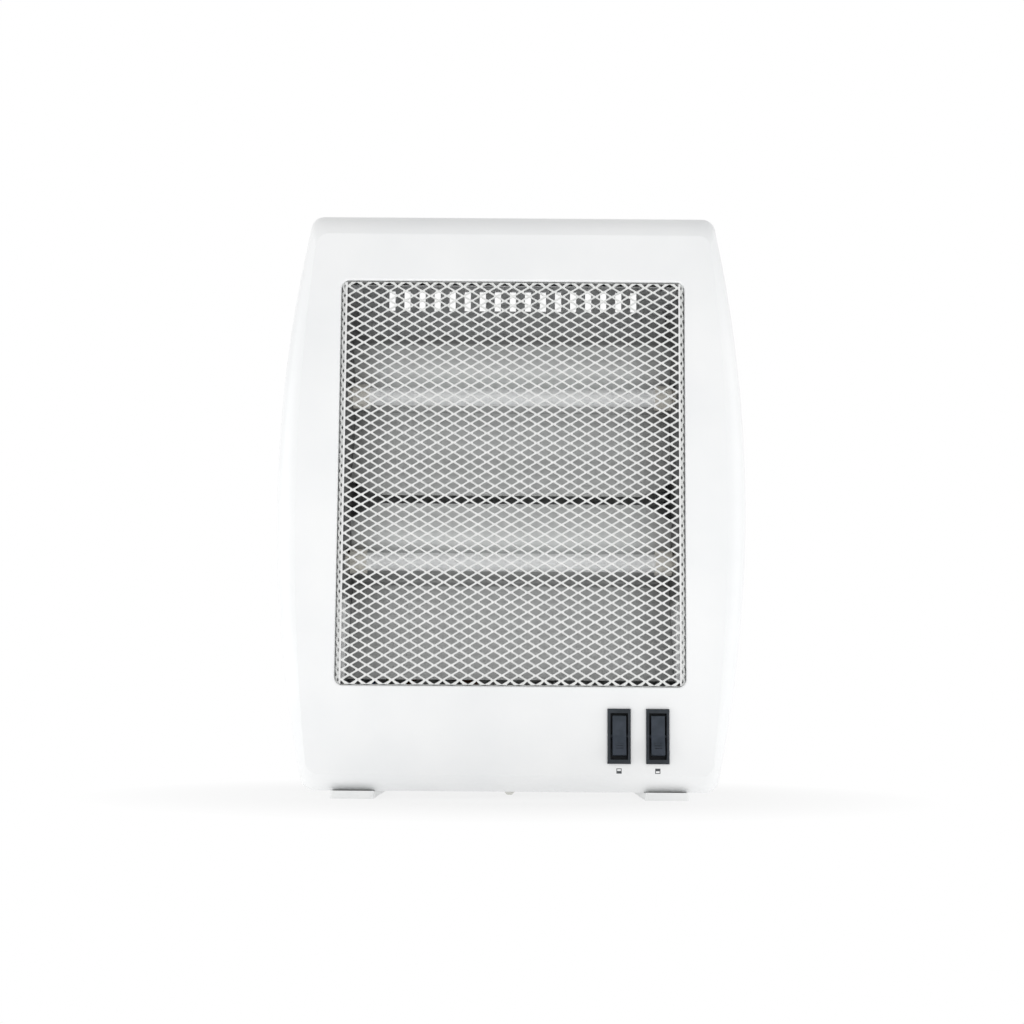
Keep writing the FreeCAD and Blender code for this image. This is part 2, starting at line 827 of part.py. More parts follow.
round_holes(cover, "plunger_hole", "XY", floor_z, [(0, tip_y)], plunger_bore, s.wall + s.overrun)
tip_screw_offset = (s.tip_body_width + s.tip_ear) / 2
tip_spots = [(sign * tip_screw_offset, tip_y) for sign in (-1, 1)]
tip_seat = floor_z + s.tip_boss_height
tip_pilot = s.tip_screw_length - s.tip_ear_thick + s.screw_fit
tip_rise = s.tip_boss_height + s.wall / 2
round_pads(cover, "tip_bosses", "XY", floor_z - s.wall / 2, tip_spots, boss_diameter, tip_rise)
round_holes(cover, "tip_pilots", "XY", tip_seat, tip_spots, pilot_diameter, tip_pilot)
block_seat_y = back_y - s.wall - s.block_boss_height
block_spots = [(-s.block_offset + sign * s.block_pole_pitch / 2, s.block_height) for sign in (-1, 1)]
block_pilot = s.block_screw_length - s.block_thick + s.screw_fit
round_pads(
    cover,
    "block_bosses",
    "XZ",
    block_seat_y,
    block_spots,
    boss_diameter,
    s.block_boss_height + s.wall / 2,
    backwards=True,
)
round_holes(cover, "block_pilots", "XZ", block_seat_y, block_spots, pilot_diameter, block_pilot)
gland_spot = [(-s.gland_offset, s.gland_height)]
gland_hole = s.gland_body + 2 * s.gland_fit
round_holes(cover, "gland_hole", "XZ", back_y, gland_spot, gland_hole, s.wall + s.overrun, backwards=True)


def rounded_wire(width, height, corner, y):
    """A rounded rectangle as a wire about the window's middle, in the plane at y."""
    across = width / 2
    up = height / 2
    middle = window_middle.value
    bend = corner * (1 - math.sqrt(1 / 2))
    edges = []
    corners = ((1, 1), (-1, 1), (-1, -1), (1, -1))
    for i, (sign_x, sign_z) in enumerate(corners):
        tip_x = sign_x * across
        tip_z = sign_z * up
        ends = [Vector(tip_x, y, tip_z - sign_z * corner), Vector(tip_x - sign_x * corner, y, tip_z)]
        if i % 2:
            ends.reverse()
        centre = Vector(tip_x - sign_x * bend, y, tip_z - sign_z * bend)
        edges.append((ends[0], centre, ends[1]))
    path = []
    lift = Vector(0, 0, middle)
    for i, (start, centre, end) in enumerate(edges):
        path.append(Part.Arc(start + lift, centre + lift, end + lift).toShape())
        path.append(Part.LineSegment(end + lift, edges[(i + 1) % len(edges)][0] + lift).toShape())
    return Part.Wire(path)


def clipped(points, low, high):
    """The part of a convex outline inside a box, as points in order."""
    for axis in (0, 1):
        for limit, sign in ((low[axis], 1), (high[axis], -1)):
            kept = []
            for i, here in enumerate(points):
                past = points[i - 1]
                here_in = sign * (here[axis] - limit) >= 0
                past_in = sign * (past[axis] - limit) >= 0
                if here_in != past_in:
                    share = (limit - past[axis]) / (here[axis] - past[axis])
                    kept.append(tuple(p + share * (q - p) for p, q in zip(past, here)))
                if here_in:
                    kept.append(here)
            points = kept
    return points


def area_of(points):
    """The area of a plane outline."""
    pairs = zip(points, points[1:] + points[:1])
    return abs(sum(a[0] * b[1] - b[0] * a[1] for a, b in pairs)) / 2


# Mesh guard: a tray of expanded sheet whose skirt flares back to a flat rim behind the window.
guard_width = s.window_width - 2 * s.guard_side_gap
guard_height = s.window_height - 2 * s.guard_end_gap
mouth_width = s.window_width - 2 * s.guard_fit
mouth_height = s.window_height - 2 * s.guard_fit
guard_y = face_y + s.guard_recess


def mesh_openings():
    """The diamond openings of the guard's front, cut off along a plain border."""
    half_long = s.mesh_long.value / 2
    half_short = s.mesh_short.value / 2
    across = half_long * half_short / math.hypot(half_long, half_short)
    open_share = 1 - s.strand.value / 2 / across
    reach = (guard_width.value / 2 - s.strand.value, guard_height.value / 2 - s.strand.value)
    low = tuple(-limit for limit in reach)
    least = LEAST_OPENING_SHARE * 2 * half_long * half_short * open_share**2
    columns = math.ceil(reach[0] / half_long)
    rows = math.ceil(reach[1] / half_short)
    outlines = []
    for column in range(-columns, columns + 1):
        for line in range(-rows, rows + 1):
            if (column + line) % 2:
                continue
            u = column * half_long
            v = line * half_short
            tips = ((1, 0), (0, 1), (-1, 0), (0, -1))
            diamond = [(u + a * half_long * open_share, v + b * half_short * open_share) for a, b in tips]
            outline = clipped(diamond, low, reach)
            if len(outline) > 2 and area_of(outline) > least:
                outlines.append(outline)
    return outlines


def guard_shape():
    """The whole guard as one solid."""
    front = guard_y.value
    sheet_size = s.guard_sheet.value
    rear = flange_y.value
    corner = s.window_corner.value
    tight = corner - s.guard_fit.value
    snug = corner - s.guard_end_gap.value
    wide, tall = guard_width.value, guard_height.value
    mouth_wide, mouth_tall = mouth_width.value, mouth_height.value
    lift = Vector(0, front, window_middle.value)
    holes = []
    for outline in mesh_openings():
        loop = [Vector(u, 0, v) + lift for u, v in outline]
        hole = Part.makePolygon(loop + loop[:1])
        hole.reverse()
        holes.append(hole)
    panel = Part.Face([rounded_wire(wide, tall, snug, front)] + holes)
    panel = panel.extrude(Vector(0, sheet_size, 0))
    ends = [rounded_wire(wide, tall, snug, front), rounded_wire(mouth_wide, mouth_tall, tight, rear)]
    outer = Part.makeLoft(ends, True, True)
    thin = 2 * sheet_size
    past = s.overrun.value
    flare_x = (mouth_wide - wide) / (rear - front)
    flare_z = (mouth_tall - tall) / (rear - front)
    ends = [
        rounded_wire(
            wide - thin - flare_x * past,
            tall - thin - flare_z * past,
            snug - sheet_size,
            front - past,
        ),
        rounded_wire(
            mouth_wide - thin + flare_x * past,
            mouth_tall - thin + flare_z * past,
            tight - sheet_size,
            rear + past,
        ),
    ]
    skirt = outer.cut(Part.makeLoft(ends, True, True))
    stop = s.guard_rim_stop.value
    reach = s.guard_rim.value
    root_in = sheet_size / 2
    strips = []
    for sign in (-1, 1):
        side_x = sign * (mouth_wide / 2 + (reach - root_in) / 2)
        upright = Part.makeBox(reach + root_in, sheet_size, tall - 2 * stop)
        upright.translate(Vector(side_x - (reach + root_in) / 2, rear - sheet_size, -tall / 2 + stop))
        level_z = sign * (mouth_tall / 2 + (reach - root_in) / 2)
        level = Part.makeBox(wide - 2 * stop, sheet_size, reach + root_in)
        level.translate(Vector(-wide / 2 + stop, rear - sheet_size, level_z - (reach + root_in) / 2))
        strips += [upright, level]
    for strip in strips:
        strip.translate(Vector(0, 0, window_middle.value))
    return panel.fuse([skirt] + strips).removeSplitter()


guard = doc.addObject("Part::Feature", "mesh_guard")
guard.Label = "mesh_guard"
guard.Shape = guard_shape()

# End plates: folded sheets behind the guard's rim, slotted from the front for the tube caps.
plates = {}
for side, sign in (("left", -1), ("right", 1)):
    plate = new_body(f"{side}_end_plate")
    plates[side] = plate
    plate_middle = (s.plate_bottom + s.plate_top) / 2
    plate_height = s.plate_top - s.plate_bottom
    web = new_sketch(
        plate, f"{side}_web", "YZ", sign * s.plate_inside, flange_y + s.plate_depth / 2, plate_middle
    )
    rectangle(web, s.plate_depth, plate_height)
    pad(plate, web, s.plate_sheet, backwards=sign < 0)
    flange = new_sketch(
        plate,
        f"{side}_flange",
        "XZ",
        sign * (s.plate_inside + s.plate_flange / 2),
        flange_y,
        plate_middle,
    )
    rectangle(flange, s.plate_flange, plate_height)
    pad(plate, flange, s.plate_sheet, backwards=True)
    slot_width = s.cap_neck + 2 * s.cap_slot_fit
    for level, height in (("upper", s.upper_tube_height), ("lower", s.lower_tube_height)):
        slot_length = s.tube_depth - s.return_depth - s.guard_sheet
        mouth = new_sketch(
            plate, f"{side}_{level}_slot", "YZ", sign * plate_outside, tube_y - slot_length / 2, height
        )
        rectangle(mouth, slot_length, slot_width)
        pocket(plate, mouth, s.plate_sheet, backwards=sign < 0)
        seat = new_sketch(plate, f"{side}_{level}_seat", "YZ", sign * plate_outside, tube_y, height)
        pocket(plate, circle(seat, slot_width), s.plate_sheet, backwards=sign < 0)
    plate_spots = CHASSIS_SCREWS[side]
    round_holes(
        plate, f"{side}_plate_holes", "XZ", flange_y, plate_spots, clear_diameter, s.plate_sheet + s.overrun
    )
    if side == "right":
        cutout_y = face_y + s.cutout_depth
        cutout_spots = [
            (cutout_y, s.cutout_height + shift * s.cutout_screw_pitch / 2) for shift in (-1, 1)
        ]
        round_holes(
            plate,
            "cutout_pilots",
            "YZ",
            plate_outside,
            cutout_spots,
            pilot_diameter,
            s.plate_sheet + s.overrun,
        )

# Reflectors: bright sheets folded along a valley behind each tube.
reflector_half = s.plate_inside - s.reflector_fit
tube_spread = s.upper_tube_height - s.lower_tube_height
reflector_seam = s.lower_tube_height + REFLECTOR_SEAM_SHARE * tube_spread
upper_valley = s.upper_tube_height - s.upper_valley_drop
lower_valley = s.lower_tube_height - s.lower_valley_drop
REFLECTORS = (
    ("upper", s.upper_reflector_top, upper_valley, reflector_seam + s.reflector_seam_gap / 2),
    ("lower", reflector_seam - s.reflector_seam_gap / 2, lower_valley, s.lower_reflector_bottom),
)
for level, top, valley, bottom in REFLECTORS:
    body = new_body(f"{level}_reflector")
    profile = new_sketch(body, f"{level}_fold", "YZ", 0, face_y, 0)
    lip = s.reflector_lip
    deep = s.reflector_lip + s.reflector_trough
    skin = s.reflector_sheet
    polygon(
        profile,
        [
            (lip, top),
            (deep, valley),
            (lip, bottom),
            (lip + skin, bottom),
            (deep + skin, valley),
            (lip + skin, top),
        ],
    )
    pad(body, profile, 2 * reflector_half, both_ways=True)
    behind_lip = (face_y + lip + 2 * skin).value
    dress(
        body,
        "Fillet",
        f"{level}_valley",
        s.reflector_bend,
        lambda edge: runs_along(edge, ALONG_X) and edge.CenterOfMass.y > behind_lip,
    )
    seam_up = level == "upper"
    seam = bottom if seam_up else top
    rise = s.reflector_notch_high if seam_up else -s.reflector_notch_high
    for side, sign in (("left", -1), ("right", 1)):
        notch = new_sketch(body, f"{level}_{side}_notch", "XZ", sign * reflector_half, face_y, seam)
        run = -sign * s.reflector_notch_long
        polygon(notch, [(0, 0), (run, 0), (0, rise)])
        pocket(body, notch, deep)

# Tubes, coils and caps, each drawn about its own axis along X and then put at its place.
tube_half = s.tube_length / 2
cap_neck_length = s.plate_sheet + 2 * s.cap_slot_fit
cap_inside = s.plate_inside - s.cap_slot_fit - s.cap_inner
cap_outside = plate_outside + s.cap_slot_fit + s.cap_outer
cap_bore = s.tube_diameter + 2 * s.cap_tube_fit
cap_socket = tube_half - cap_inside + s.cap_tube_fit
for level, height in (("upper", s.upper_tube_height), ("lower", s.lower_tube_height)):
    tube = new_body(f"{level}_quartz_tube")
    ring = new_sketch(tube, f"{level}_tube_ring", "YZ")
    circle(ring, s.tube_diameter)
    circle(ring, s.tube_diameter - 2 * s.tube_wall)
    pad(tube, ring, s.tube_length, both_ways=True)
    place(tube, 0, tube_y, height)
    coil = new_body(f"{level}_heating_coil")
    leg = new_sketch(coil, f"{level}_coil_legs", "YZ")
    pad(coil, circle(leg, s.coil_leg), 2 * (cap_outside + s.coil_leg_out - s.cap_outer), both_ways=True)
    core = new_sketch(coil, f"{level}_coil_core", "YZ")
    pad(coil, circle(core, s.coil_diameter), s.coil_length, both_ways=True)
    place(coil, 0, tube_y, height)
    for side, angle in (("left", 180), ("right", 0)):
        cap = new_body(f"{level}_{side}_tube_cap")
        outline = new_sketch(cap, f"{level}_{side}_cap_outline", "XY")
        head = s.cap_diameter / 2
        neck = s.cap_neck / 2
        neck_start = s.cap_inner
        neck_end = s.cap_inner + cap_neck_length
        end = neck_end + s.cap_outer
        leg_hole = s.coil_leg / 2 + s.cap_leg_fit
        polygon(
            outline,
            [
                (0, cap_bore / 2),
                (0, head),
                (neck_start, head),
                (neck_start, neck),
                (neck_end, neck),
                (neck_end, head),
                (end, head),
                (end, leg_hole),
                (cap_socket, leg_hole),
                (cap_socket, cap_bore / 2),
            ],
        )
        revolution(cap, outline)
        place(cap, cap_inside if angle == 0 else -cap_inside, tube_y, height, ALONG_Z, angle)

# Rocker switches: a body with a bezel and an open well, and a rocker on two stub pins.
for side, offset in (("left", s.left_switch_offset), ("right", s.right_switch_offset)):
    body = new_body(f"{side}_switch_body")
    bezel = new_sketch(body, f"{side}_bezel", "XZ")
    pad(body, rectangle(bezel, s.bezel_width, s.bezel_height), s.bezel_proud)
    dress(
        body,
        "Chamfer",
        f"{side}_bezel_edge",
        s.bezel_edge,
        lambda edge: all(near(v.Y, -s.bezel_proud, s.rocker_pin_fit) for v in edge.Vertexes),
    )
    block = new_sketch(body, f"{side}_switch_block", "XZ")
    pad(body, rectangle(block, s.switch_width, s.switch_length), s.switch_depth, backwards=True)
    well = new_sketch(body, f"{side}_switch_well", "XZ", 0, -s.bezel_proud, 0)
    pocket(body, rectangle(well, s.well_width, s.well_length), s.well_depth)
    pin_hole = new_sketch(body, f"{side}_pin_hole", "YZ", 0, s.pivot_depth, 0)
    circle(pin_hole, s.rocker_pin + 2 * s.rocker_pin_fit)
    pocket(body, pin_hole, s.bezel_width + s.overrun, both_ways=True)
    place(body, offset, face_y, s.switch_height)

    rocker = new_body(f"{side}_rocker")
    profile = new_sketch(rocker, f"{side}_rocker_profile", "YZ")
    half = s.rocker_length / 2
    back = s.rocker_back_length / 2
    polygon(
        profile,
        [
            (-s.rocker_tip, -half),
            (-s.rocker_skirt, -half),
            (s.rocker_back, -back),
            (s.rocker_back, back),
            (-s.rocker_skirt, half),
            (-s.rocker_tip, half),
            (-s.rocker_dip, 0),
        ],
    )
    pad(rocker, profile, s.rocker_width, both_ways=True)
    tips_y = -(s.rocker_dip + s.rocker_edge).value
    dress(
        rocker,
        "Fillet",
        f"{side}_rocker_tips",
        s.rocker_edge,
        lambda edge: runs_along(edge, ALONG_X) and edge.CenterOfMass.y < tips_y,
    )
    groove_y = -(s.rocker_dip + GROOVE_MIDDLE_SHARE * (s.rocker_tip - s.rocker_dip) - s.rocker_groove_sink)
    groove_span = (GROOVE_COUNT - 1) * s.rocker_groove_pitch
    groove_z = -(GROOVE_MIDDLE_SHARE * half) - groove_span / 2
    groove = new_sketch(rocker, f"{side}_rocker_groove", "XZ", 0, groove_y, groove_z)
    rectangle(groove, s.rocker_groove_long, s.rocker_groove)
    cut = pocket(rocker, groove, s.rocker_tip, backwards=True)
    row_of(rocker, cut, "Z", GROOVE_COUNT, groove_span)
    pin = new_sketch(rocker, f"{side}_rocker_pin", "YZ")
    pad(rocker, circle(pin, s.rocker_pin), s.well_width + 2 * s.rocker_pin_reach, both_ways=True)
    place(rocker, offset, face_y + s.pivot_depth, s.switch_height, ALONG_X, -s.rocker_tilt)

    blades = [
        blade(
            f"{side}_blade_{tag}",
            offset - s.blade_width / 2,
            face_y + s.switch_depth,
            s.switch_height + sign * s.blade_offset - s.blade_sheet / 2,
            s.blade_width,
            s.blade_length,
            s.blade_sheet,
        )
        for tag, sign in (("low", -1), ("high", 1))
    ]
    group(f"{side}_switch_terminals", blades)

# Feet: bars under the case with a lip in front and a hump behind, held by two screws each.
for side, sign in (("left", -1), ("right", 1)):
    foot = new_body(f"{side}_foot")
    profile = new_sketch(foot, f"{side}_foot_profile", "YZ", 0, face_y, 0)
    back = s.frame_depth + cover_depth
    hump = back + s.foot_hump_gap
    polygon(
        profile,
        [
            (s.foot_front, 0),
            (s.foot_rear, 0),
            (s.foot_rear, s.foot_toe),
            (hump + s.foot_hump_flat, s.foot_hump),
            (hump, s.foot_hump),
            (back - s.foot_hump_root, s.foot_drop),
            (s.foot_lip_root, s.foot_drop),
            (s.foot_front + s.foot_lip_sheet, s.foot_lip),
            (s.foot_front, s.foot_lip),
        ],
    )
    pad(foot, profile, s.foot_width, both_ways=True)
    dress(
        foot,
        "Fillet",
        f"{side}_foot_edges",
        s.foot_edge,
        lambda edge: runs_along(edge, ALONG_Z)
        and (near(edge.CenterOfMass.y, face_y + s.foot_front, s.foot_edge)
             or near(edge.CenterOfMass.y, face_y + s.foot_rear, s.foot_edge)),
    )
    for tag, depth in (("front", s.foot_screw_front), ("back", s.foot_screw_back)):
        y = face_y + depth
        recess = new_sketch(foot, f"{side}_{tag}_foot_recess", "XY", 0, y, 0)
        pocket(foot, circle(recess, well_diameter), s.screw_head_height + s.screw_fit, backwards=True)
        hole = new_sketch(foot, f"{side}_{tag}_foot_hole", "XY", 0, y, s.foot_drop)
        pocket(foot, circle(hole, clear_diameter), s.foot_drop)
    place(foot, sign * s.foot_offset, 0, 0)

# Thermal cut-out: a disc with a flange, screwed to the outer side of the right end plate.
cutout = new_body("thermal_cutout")
cutout_plate = new_sketch(cutout, "cutout_plate", "YZ", plate_outside, cutout_y, s.cutout_height)
pad(cutout, rectangle(cutout_plate, s.cutout_flange_width, s.cutout_flange_length), s.cutout_flange)
cutout_disc = new_sketch(cutout, "cutout_disc", "YZ", plate_outside, cutout_y, s.cutout_height)
pad(cutout, circle(cutout_disc, s.cutout_diameter), s.cutout_flange + s.cutout_body)
flange_x = plate_outside + s.cutout_flange
round_holes(cutout, "cutout_holes", "YZ", flange_x, cutout_spots, clear_diameter, s.cutout_flange)
cutout_end = flange_x + s.cutout_body


cutout_blades = [
    blade(
        f"cutout_blade_{tag}",
        cutout_end,
        cutout_y - s.blade_width / 2,
        s.cutout_height + sign * s.cutout_blade_offset - s.blade_sheet / 2,
        s.blade_length,
        s.blade_width,
        s.blade_sheet,
    )
    for tag, sign in (("low", -1), ("high", 1))
]
group("cutout_terminals", cutout_blades)

# Tip-over switch: a cup on the case floor, a sprung plunger that the floor holds up, two blades on top.
tip = new_body("tip_switch_body")
tip_box = new_sketch(tip, "tip_box", "XY", 0, tip_y, floor_z)
pad(tip, rectangle(tip_box, s.tip_body_width, s.tip_body_width), s.tip_body_height)
tip_ears = new_sketch(tip, "tip_ears", "XY", 0, tip_y, tip_seat)
pad(tip, rectangle(tip_ears, s.tip_body_width + 2 * s.tip_ear, s.tip_ear), s.tip_ear_thick)
tip_bore_depth = s.tip_body_height - s.tip_roof
round_holes(tip, "tip_bore", "XY", floor_z, [(0, tip_y)], s.tip_bore, tip_bore_depth, backwards=True)
ear_top = tip_seat + s.tip_ear_thick
round_holes(tip, "tip_ear_holes", "XY", ear_top, tip_spots, clear_diameter, s.tip_ear_thick)
tip_top = floor_z + s.tip_body_height
tip_blades = [
    blade(
        f"tip_blade_{tag}",
        sign * s.tip_blade_offset - s.blade_sheet / 2,
        tip_y - s.blade_width / 2,
        tip_top,
        s.blade_sheet,
        s.blade_width,
        s.blade_length,
    )
    for tag, sign in (("left", -1), ("right", 1))
]
group("tip_switch_terminals", tip_blades)
plunger = new_body("tip_plunger")
plunger_outline = new_sketch(plunger, "plunger_outline", "XZ")
collar_z = floor_z + s.plunger_travel + s.plunger_stop_gap
collar_top = collar_z + s.plunger_collar_height
polygon(
    plunger_outline,
    [
        (0, 0),
        (s.plunger_diameter / 2 - s.plunger_nose, 0),
        (s.plunger_diameter / 2, s.plunger_nose),
        (s.plunger_diameter / 2, collar_z),
        (s.plunger_collar / 2, collar_z),
        (s.plunger_collar / 2, collar_top),
        (s.plunger_stem / 2, collar_top),
        (s.plunger_stem / 2, collar_top + s.plunger_stem_height),
        (0, collar_top + s.plunger_stem_height),
    ],
)
revolution(plunger, plunger_outline, "V_Axis")
place(plunger, 0, tip_y, 0)


def biarc(start, start_way, end, end_way):
    """Two arcs that leave one point along its direction and reach another along its own."""
    chord = end - start
    ways = start_way + end_way
    spread = 2 * (1 - start_way.dot(end_way))
    along = chord.dot(ways)
    arm = (math.sqrt(along * along + spread * chord.dot(chord)) - along) / spread
    first_apex = start + start_way * arm
    second_apex = end - end_way * arm
    joint = (first_apex + second_apex) * (1 / 2)
    arcs = []
    for near_end, apex, far_end in ((start, first_apex, joint), (joint, second_apex, end)):
        middle = (near_end + far_end) * (1 / 2)
        half = (far_end - near_end).Length / 2
        height = (apex - middle).Length
        rise = half * math.tan(math.atan2(height, half) / 2)
        crown = middle + (apex - middle) * (rise / height)
        arcs.append(Part.Arc(near_end, crown, far_end).toShape())
    return arcs


def spring_shape():
    """The plunger's spring, a wire wound upwards from the collar to the cup's roof."""
    radius = (s.spring_diameter.value - s.spring_wire.value) / 2
    rest = s.spring_gap.value + s.spring_wire.value / 2
    low = collar_top.value + rest
    rise = tip_top.value - s.tip_roof.value - rest - low
    steps = round(s.spring_turns.value * QUARTERS_IN_TURN)
    angle = 2 * math.pi / QUARTERS_IN_TURN
    climb = rise / (steps * angle)
    points = []
    ways = []
    for i in range(steps + 1):
        turn = i * angle
        points.append(Vector(radius * math.cos(turn), radius * math.sin(turn), low + rise * i / steps))
        way = Vector(-radius * math.sin(turn), radius * math.cos(turn), climb)
        ways.append(way.normalize())
    path = []
    for i in range(steps):
        path += biarc(points[i], ways[i], points[i + 1], ways[i + 1])
    ring = Part.Wire(Part.Circle(points[0], ways[0], s.spring_wire.value / 2).toShape())
    return Part.Wire(path).makePipeShell([ring], True, False)


QUARTERS_IN_TURN = 4
spring = doc.addObject("Part::Feature", "tip_spring")
spring.Label = "tip_spring"
spring.Shape = spring_shape()
place(spring, 0, tip_y, 0)

# Terminal block on two bosses inside the rear cover, with a clamp and two screws for each pole.
block = new_body("terminal_block")
block_front_y = block_seat_y - s.block_thick
block_outline = new_sketch(block, "block_outline", "XZ", -s.block_offset, block_seat_y, s.block_height)
pad(block, rectangle(block_outline, s.block_length, s.block_width), s.block_thick)
pole_y = block_seat_y - s.block_thick / 2
poles = [-s.block_offset + (i - (POLE_COUNT - 1) / 2) * s.block_pole_pitch for i in range(POLE_COUNT)]
block_top = s.block_height + s.block_width / 2
clamp_bore = s.clamp_diameter + 2 * s.clamp_fit
round_holes(block, "pole_bores", "XY", block_top, [(x, pole_y) for x in poles], clamp_bore, s.block_width)
round_holes(block, "block_holes", "XZ", block_front_y, block_spots, clear_diameter, s.block_thick)
clamp_spots = [(x, s.block_height + sign * s.clamp_screw_offset) for x in poles for sign in (-1, 1)]
clamp_hole = s.clamp_screw + 2 * s.screw_fit
round_holes(block, "clamp_holes", "XZ", block_front_y, clamp_spots, clamp_hole, s.block_thick / 2)


clamps = []
for i, x in enumerate(poles):
    low = s.block_height - s.clamp_length / 2
    sleeve = rod(f"clamp_sleeve_{i}", s.clamp_diameter, s.clamp_length, x, pole_y, low, ALONG_Z, 0)
    hollow_diameter = s.clamp_diameter - 2 * s.clamp_wall
    past = s.clamp_length + 2 * s.overrun
    hollow = rod(f"clamp_bore_{i}", hollow_diameter, past, x, pole_y, low - s.overrun, ALONG_Z, 0)
    clamp = doc.addObject("Part::Cut", f"clamp_{i}")
    clamp.Base = sleeve
    clamp.Tool = hollow
    clamps.append(clamp)
group("terminal_clamps", clamps)
clamp_screw_y = pole_y - s.clamp_diameter / 2 - s.clamp_fit
clamp_screw_length = s.block_thick / 2 - s.clamp_diameter / 2 - s.clamp_fit - s.clamp_screw_sink
clamp_screws = [
    rod(f"clamp_screw_{i}", s.clamp_screw, clamp_screw_length, x, clamp_screw_y, z, ALONG_X, 90)
    for i, (x, z) in enumerate(clamp_spots)
]
group("clamp_screws", clamp_screws)

# Cord gland: a bush snapped into the rear cover's wall, its bore open to the back.
gland = new_body("cord_gland")
gland_outline = new_sketch(gland, "gland_outline", "XY")
gland_bore = s.gland_bore / 2
ring_start = -(s.wall + s.gland_ring_thick)
polygon(
    gland_outline,
    [
        (ring_start, gland_bore),
        (s.gland_flange_thick, gland_bore),
        (s.gland_flange_thick, s.gland_flange / 2),
        (0, s.gland_flange / 2),
        (0, s.gland_body / 2),
        (-s.wall, s.gland_body / 2),
        (-s.wall, s.gland_ring / 2),
        (ring_start, s.gland_ring / 2),
    ],
)
revolution(gland, gland_outline)
place(gland, -s.gland_offset, back_y, s.gland_height, ALONG_Z, 90)

# Internal leads: each from terminal to terminal along points given as x, depth behind the face, height.
switch_blade_end = s.switch_depth + s.blade_length + s.lead_gap
switch_blade_middle = s.switch_depth + s.blade_length / 2
switch_low = s.switch_height - s.blade_offset
switch_high = s.switch_height + s.blade_offset
link_start = switch_high + s.blade_sheet / 2 + s.lead_gap
tip_end = tip_top + s.blade_length + s.lead_gap
leg_end = cap_outside + s.coil_leg_out - s.cap_outer + s.lead_gap
leg_middle = leg_end - s.lead_gap - s.coil_leg
leg_side = s.coil_leg / 2 + s.lead_gap
cutout_low = s.cutout_height - s.cutout_blade_offset - s.blade_sheet / 2 - s.lead_gap
cutout_high = s.cutout_height + s.cutout_blade_offset
cutout_blade_end = cutout_end + s.blade_length + s.lead_gap
cutout_blade_middle = cutout_end + s.blade_length / 2
pole_depth = pole_y - face_y
neutral_pole, earth_pole, live_pole = poles
LEADS = {
    "live_lead": [
        (live_pole, pole_depth, s.block_height),
        (live_pole, pole_depth, 70),
        (-44, 75, 74),
        (-14, 66, 66),
        (-s.tip_blade_offset, s.tip_depth, 54),
        (-s.tip_blade_offset, s.tip_depth, tip_end),
    ],
    "cutout_lead": [
        (s.tip_blade_offset, s.tip_depth, tip_end),
        (s.tip_blade_offset, s.tip_depth, 54),
        (30, 66, 63),
        (70, 68, 61),
        (98, 64, 60),
        (cutout_blade_middle, 60, 80),
        (114, 57, 130),
        (cutout_blade_middle, s.cutout_depth, 162),
        (cutout_blade_middle, s.cutout_depth, cutout_low),
    ],
    "switch_feed_lead": [
        (cutout_blade_end, s.cutout_depth, cutout_high),
        (127, s.cutout_depth, cutout_high),
        (128, 55, 172),
        (128, 50, 130),
        (124, 42, 92),
        (108, 38, 64),
        (93, 37, 50),
        (s.right_switch_offset, 34, switch_high),
        (s.right_switch_offset, switch_blade_end, switch_high),
    ],
    "switch_link_lead": [
        (s.right_switch_offset, switch_blade_middle, link_start),
        (s.right_switch_offset, switch_blade_middle, 54),
        (s.left_switch_offset, switch_blade_middle, 54),
        (s.left_switch_offset, switch_blade_middle, link_start),
    ],
    "upper_tube_lead": [
        (s.right_switch_offset, switch_blade_end, switch_low),
        (s.right_switch_offset, 36, 28),
        (92, 48, 42),
        (110, 52, 58),
        (120, 48, 84),
        (120, 46, 140),
        (121, 42, 200),
        (124, 36, 230),
        (121, s.tube_depth, s.upper_tube_height),
        (leg_end, s.tube_depth, s.upper_tube_height),
    ],
    "lower_tube_lead": [
        (s.left_switch_offset, switch_blade_end, switch_low),
        (s.left_switch_offset, 35, 31),
        (78, 31, 54),
        (100, 27, 59),
        (114, 25, 82),
        (121, 29, 114),
        (123, 33, 131),
        (120, s.tube_depth, s.lower_tube_height),
        (leg_end, s.tube_depth, s.lower_tube_height),
    ],
    "neutral_lead": [
        (neutral_pole, pole_depth, s.block_height),
        (neutral_pole, pole_depth, 72),
        (-97, 81, 88),
        (-113, 73, 102),
        (-121, 54, 118),
        (-123, 40, 132),
        (-120, s.tube_depth, s.lower_tube_height),
        (-leg_end, s.tube_depth, s.lower_tube_height),
    ],
    "neutral_link_lead": [
        (-leg_middle, s.tube_depth, s.lower_tube_height + leg_side),
        (-leg_middle, s.tube_depth, s.lower_tube_height + 21),
        (-116, 38, s.lower_tube_height + tube_spread / 2),
        (-leg_middle, s.tube_depth, s.upper_tube_height - 19),
        (-leg_middle, s.tube_depth, s.upper_tube_height - leg_side),
    ],
    "earth_lead": [
        (earth_pole, pole_depth, s.block_height),
        (earth_pole, pole_depth, 66),
        (-79, 72, 79),
        (-87, 64, 90),
        (s.lead_gap - s.plate_inside, 64, 90),
    ],
}
BEND_SHARE = 0.45


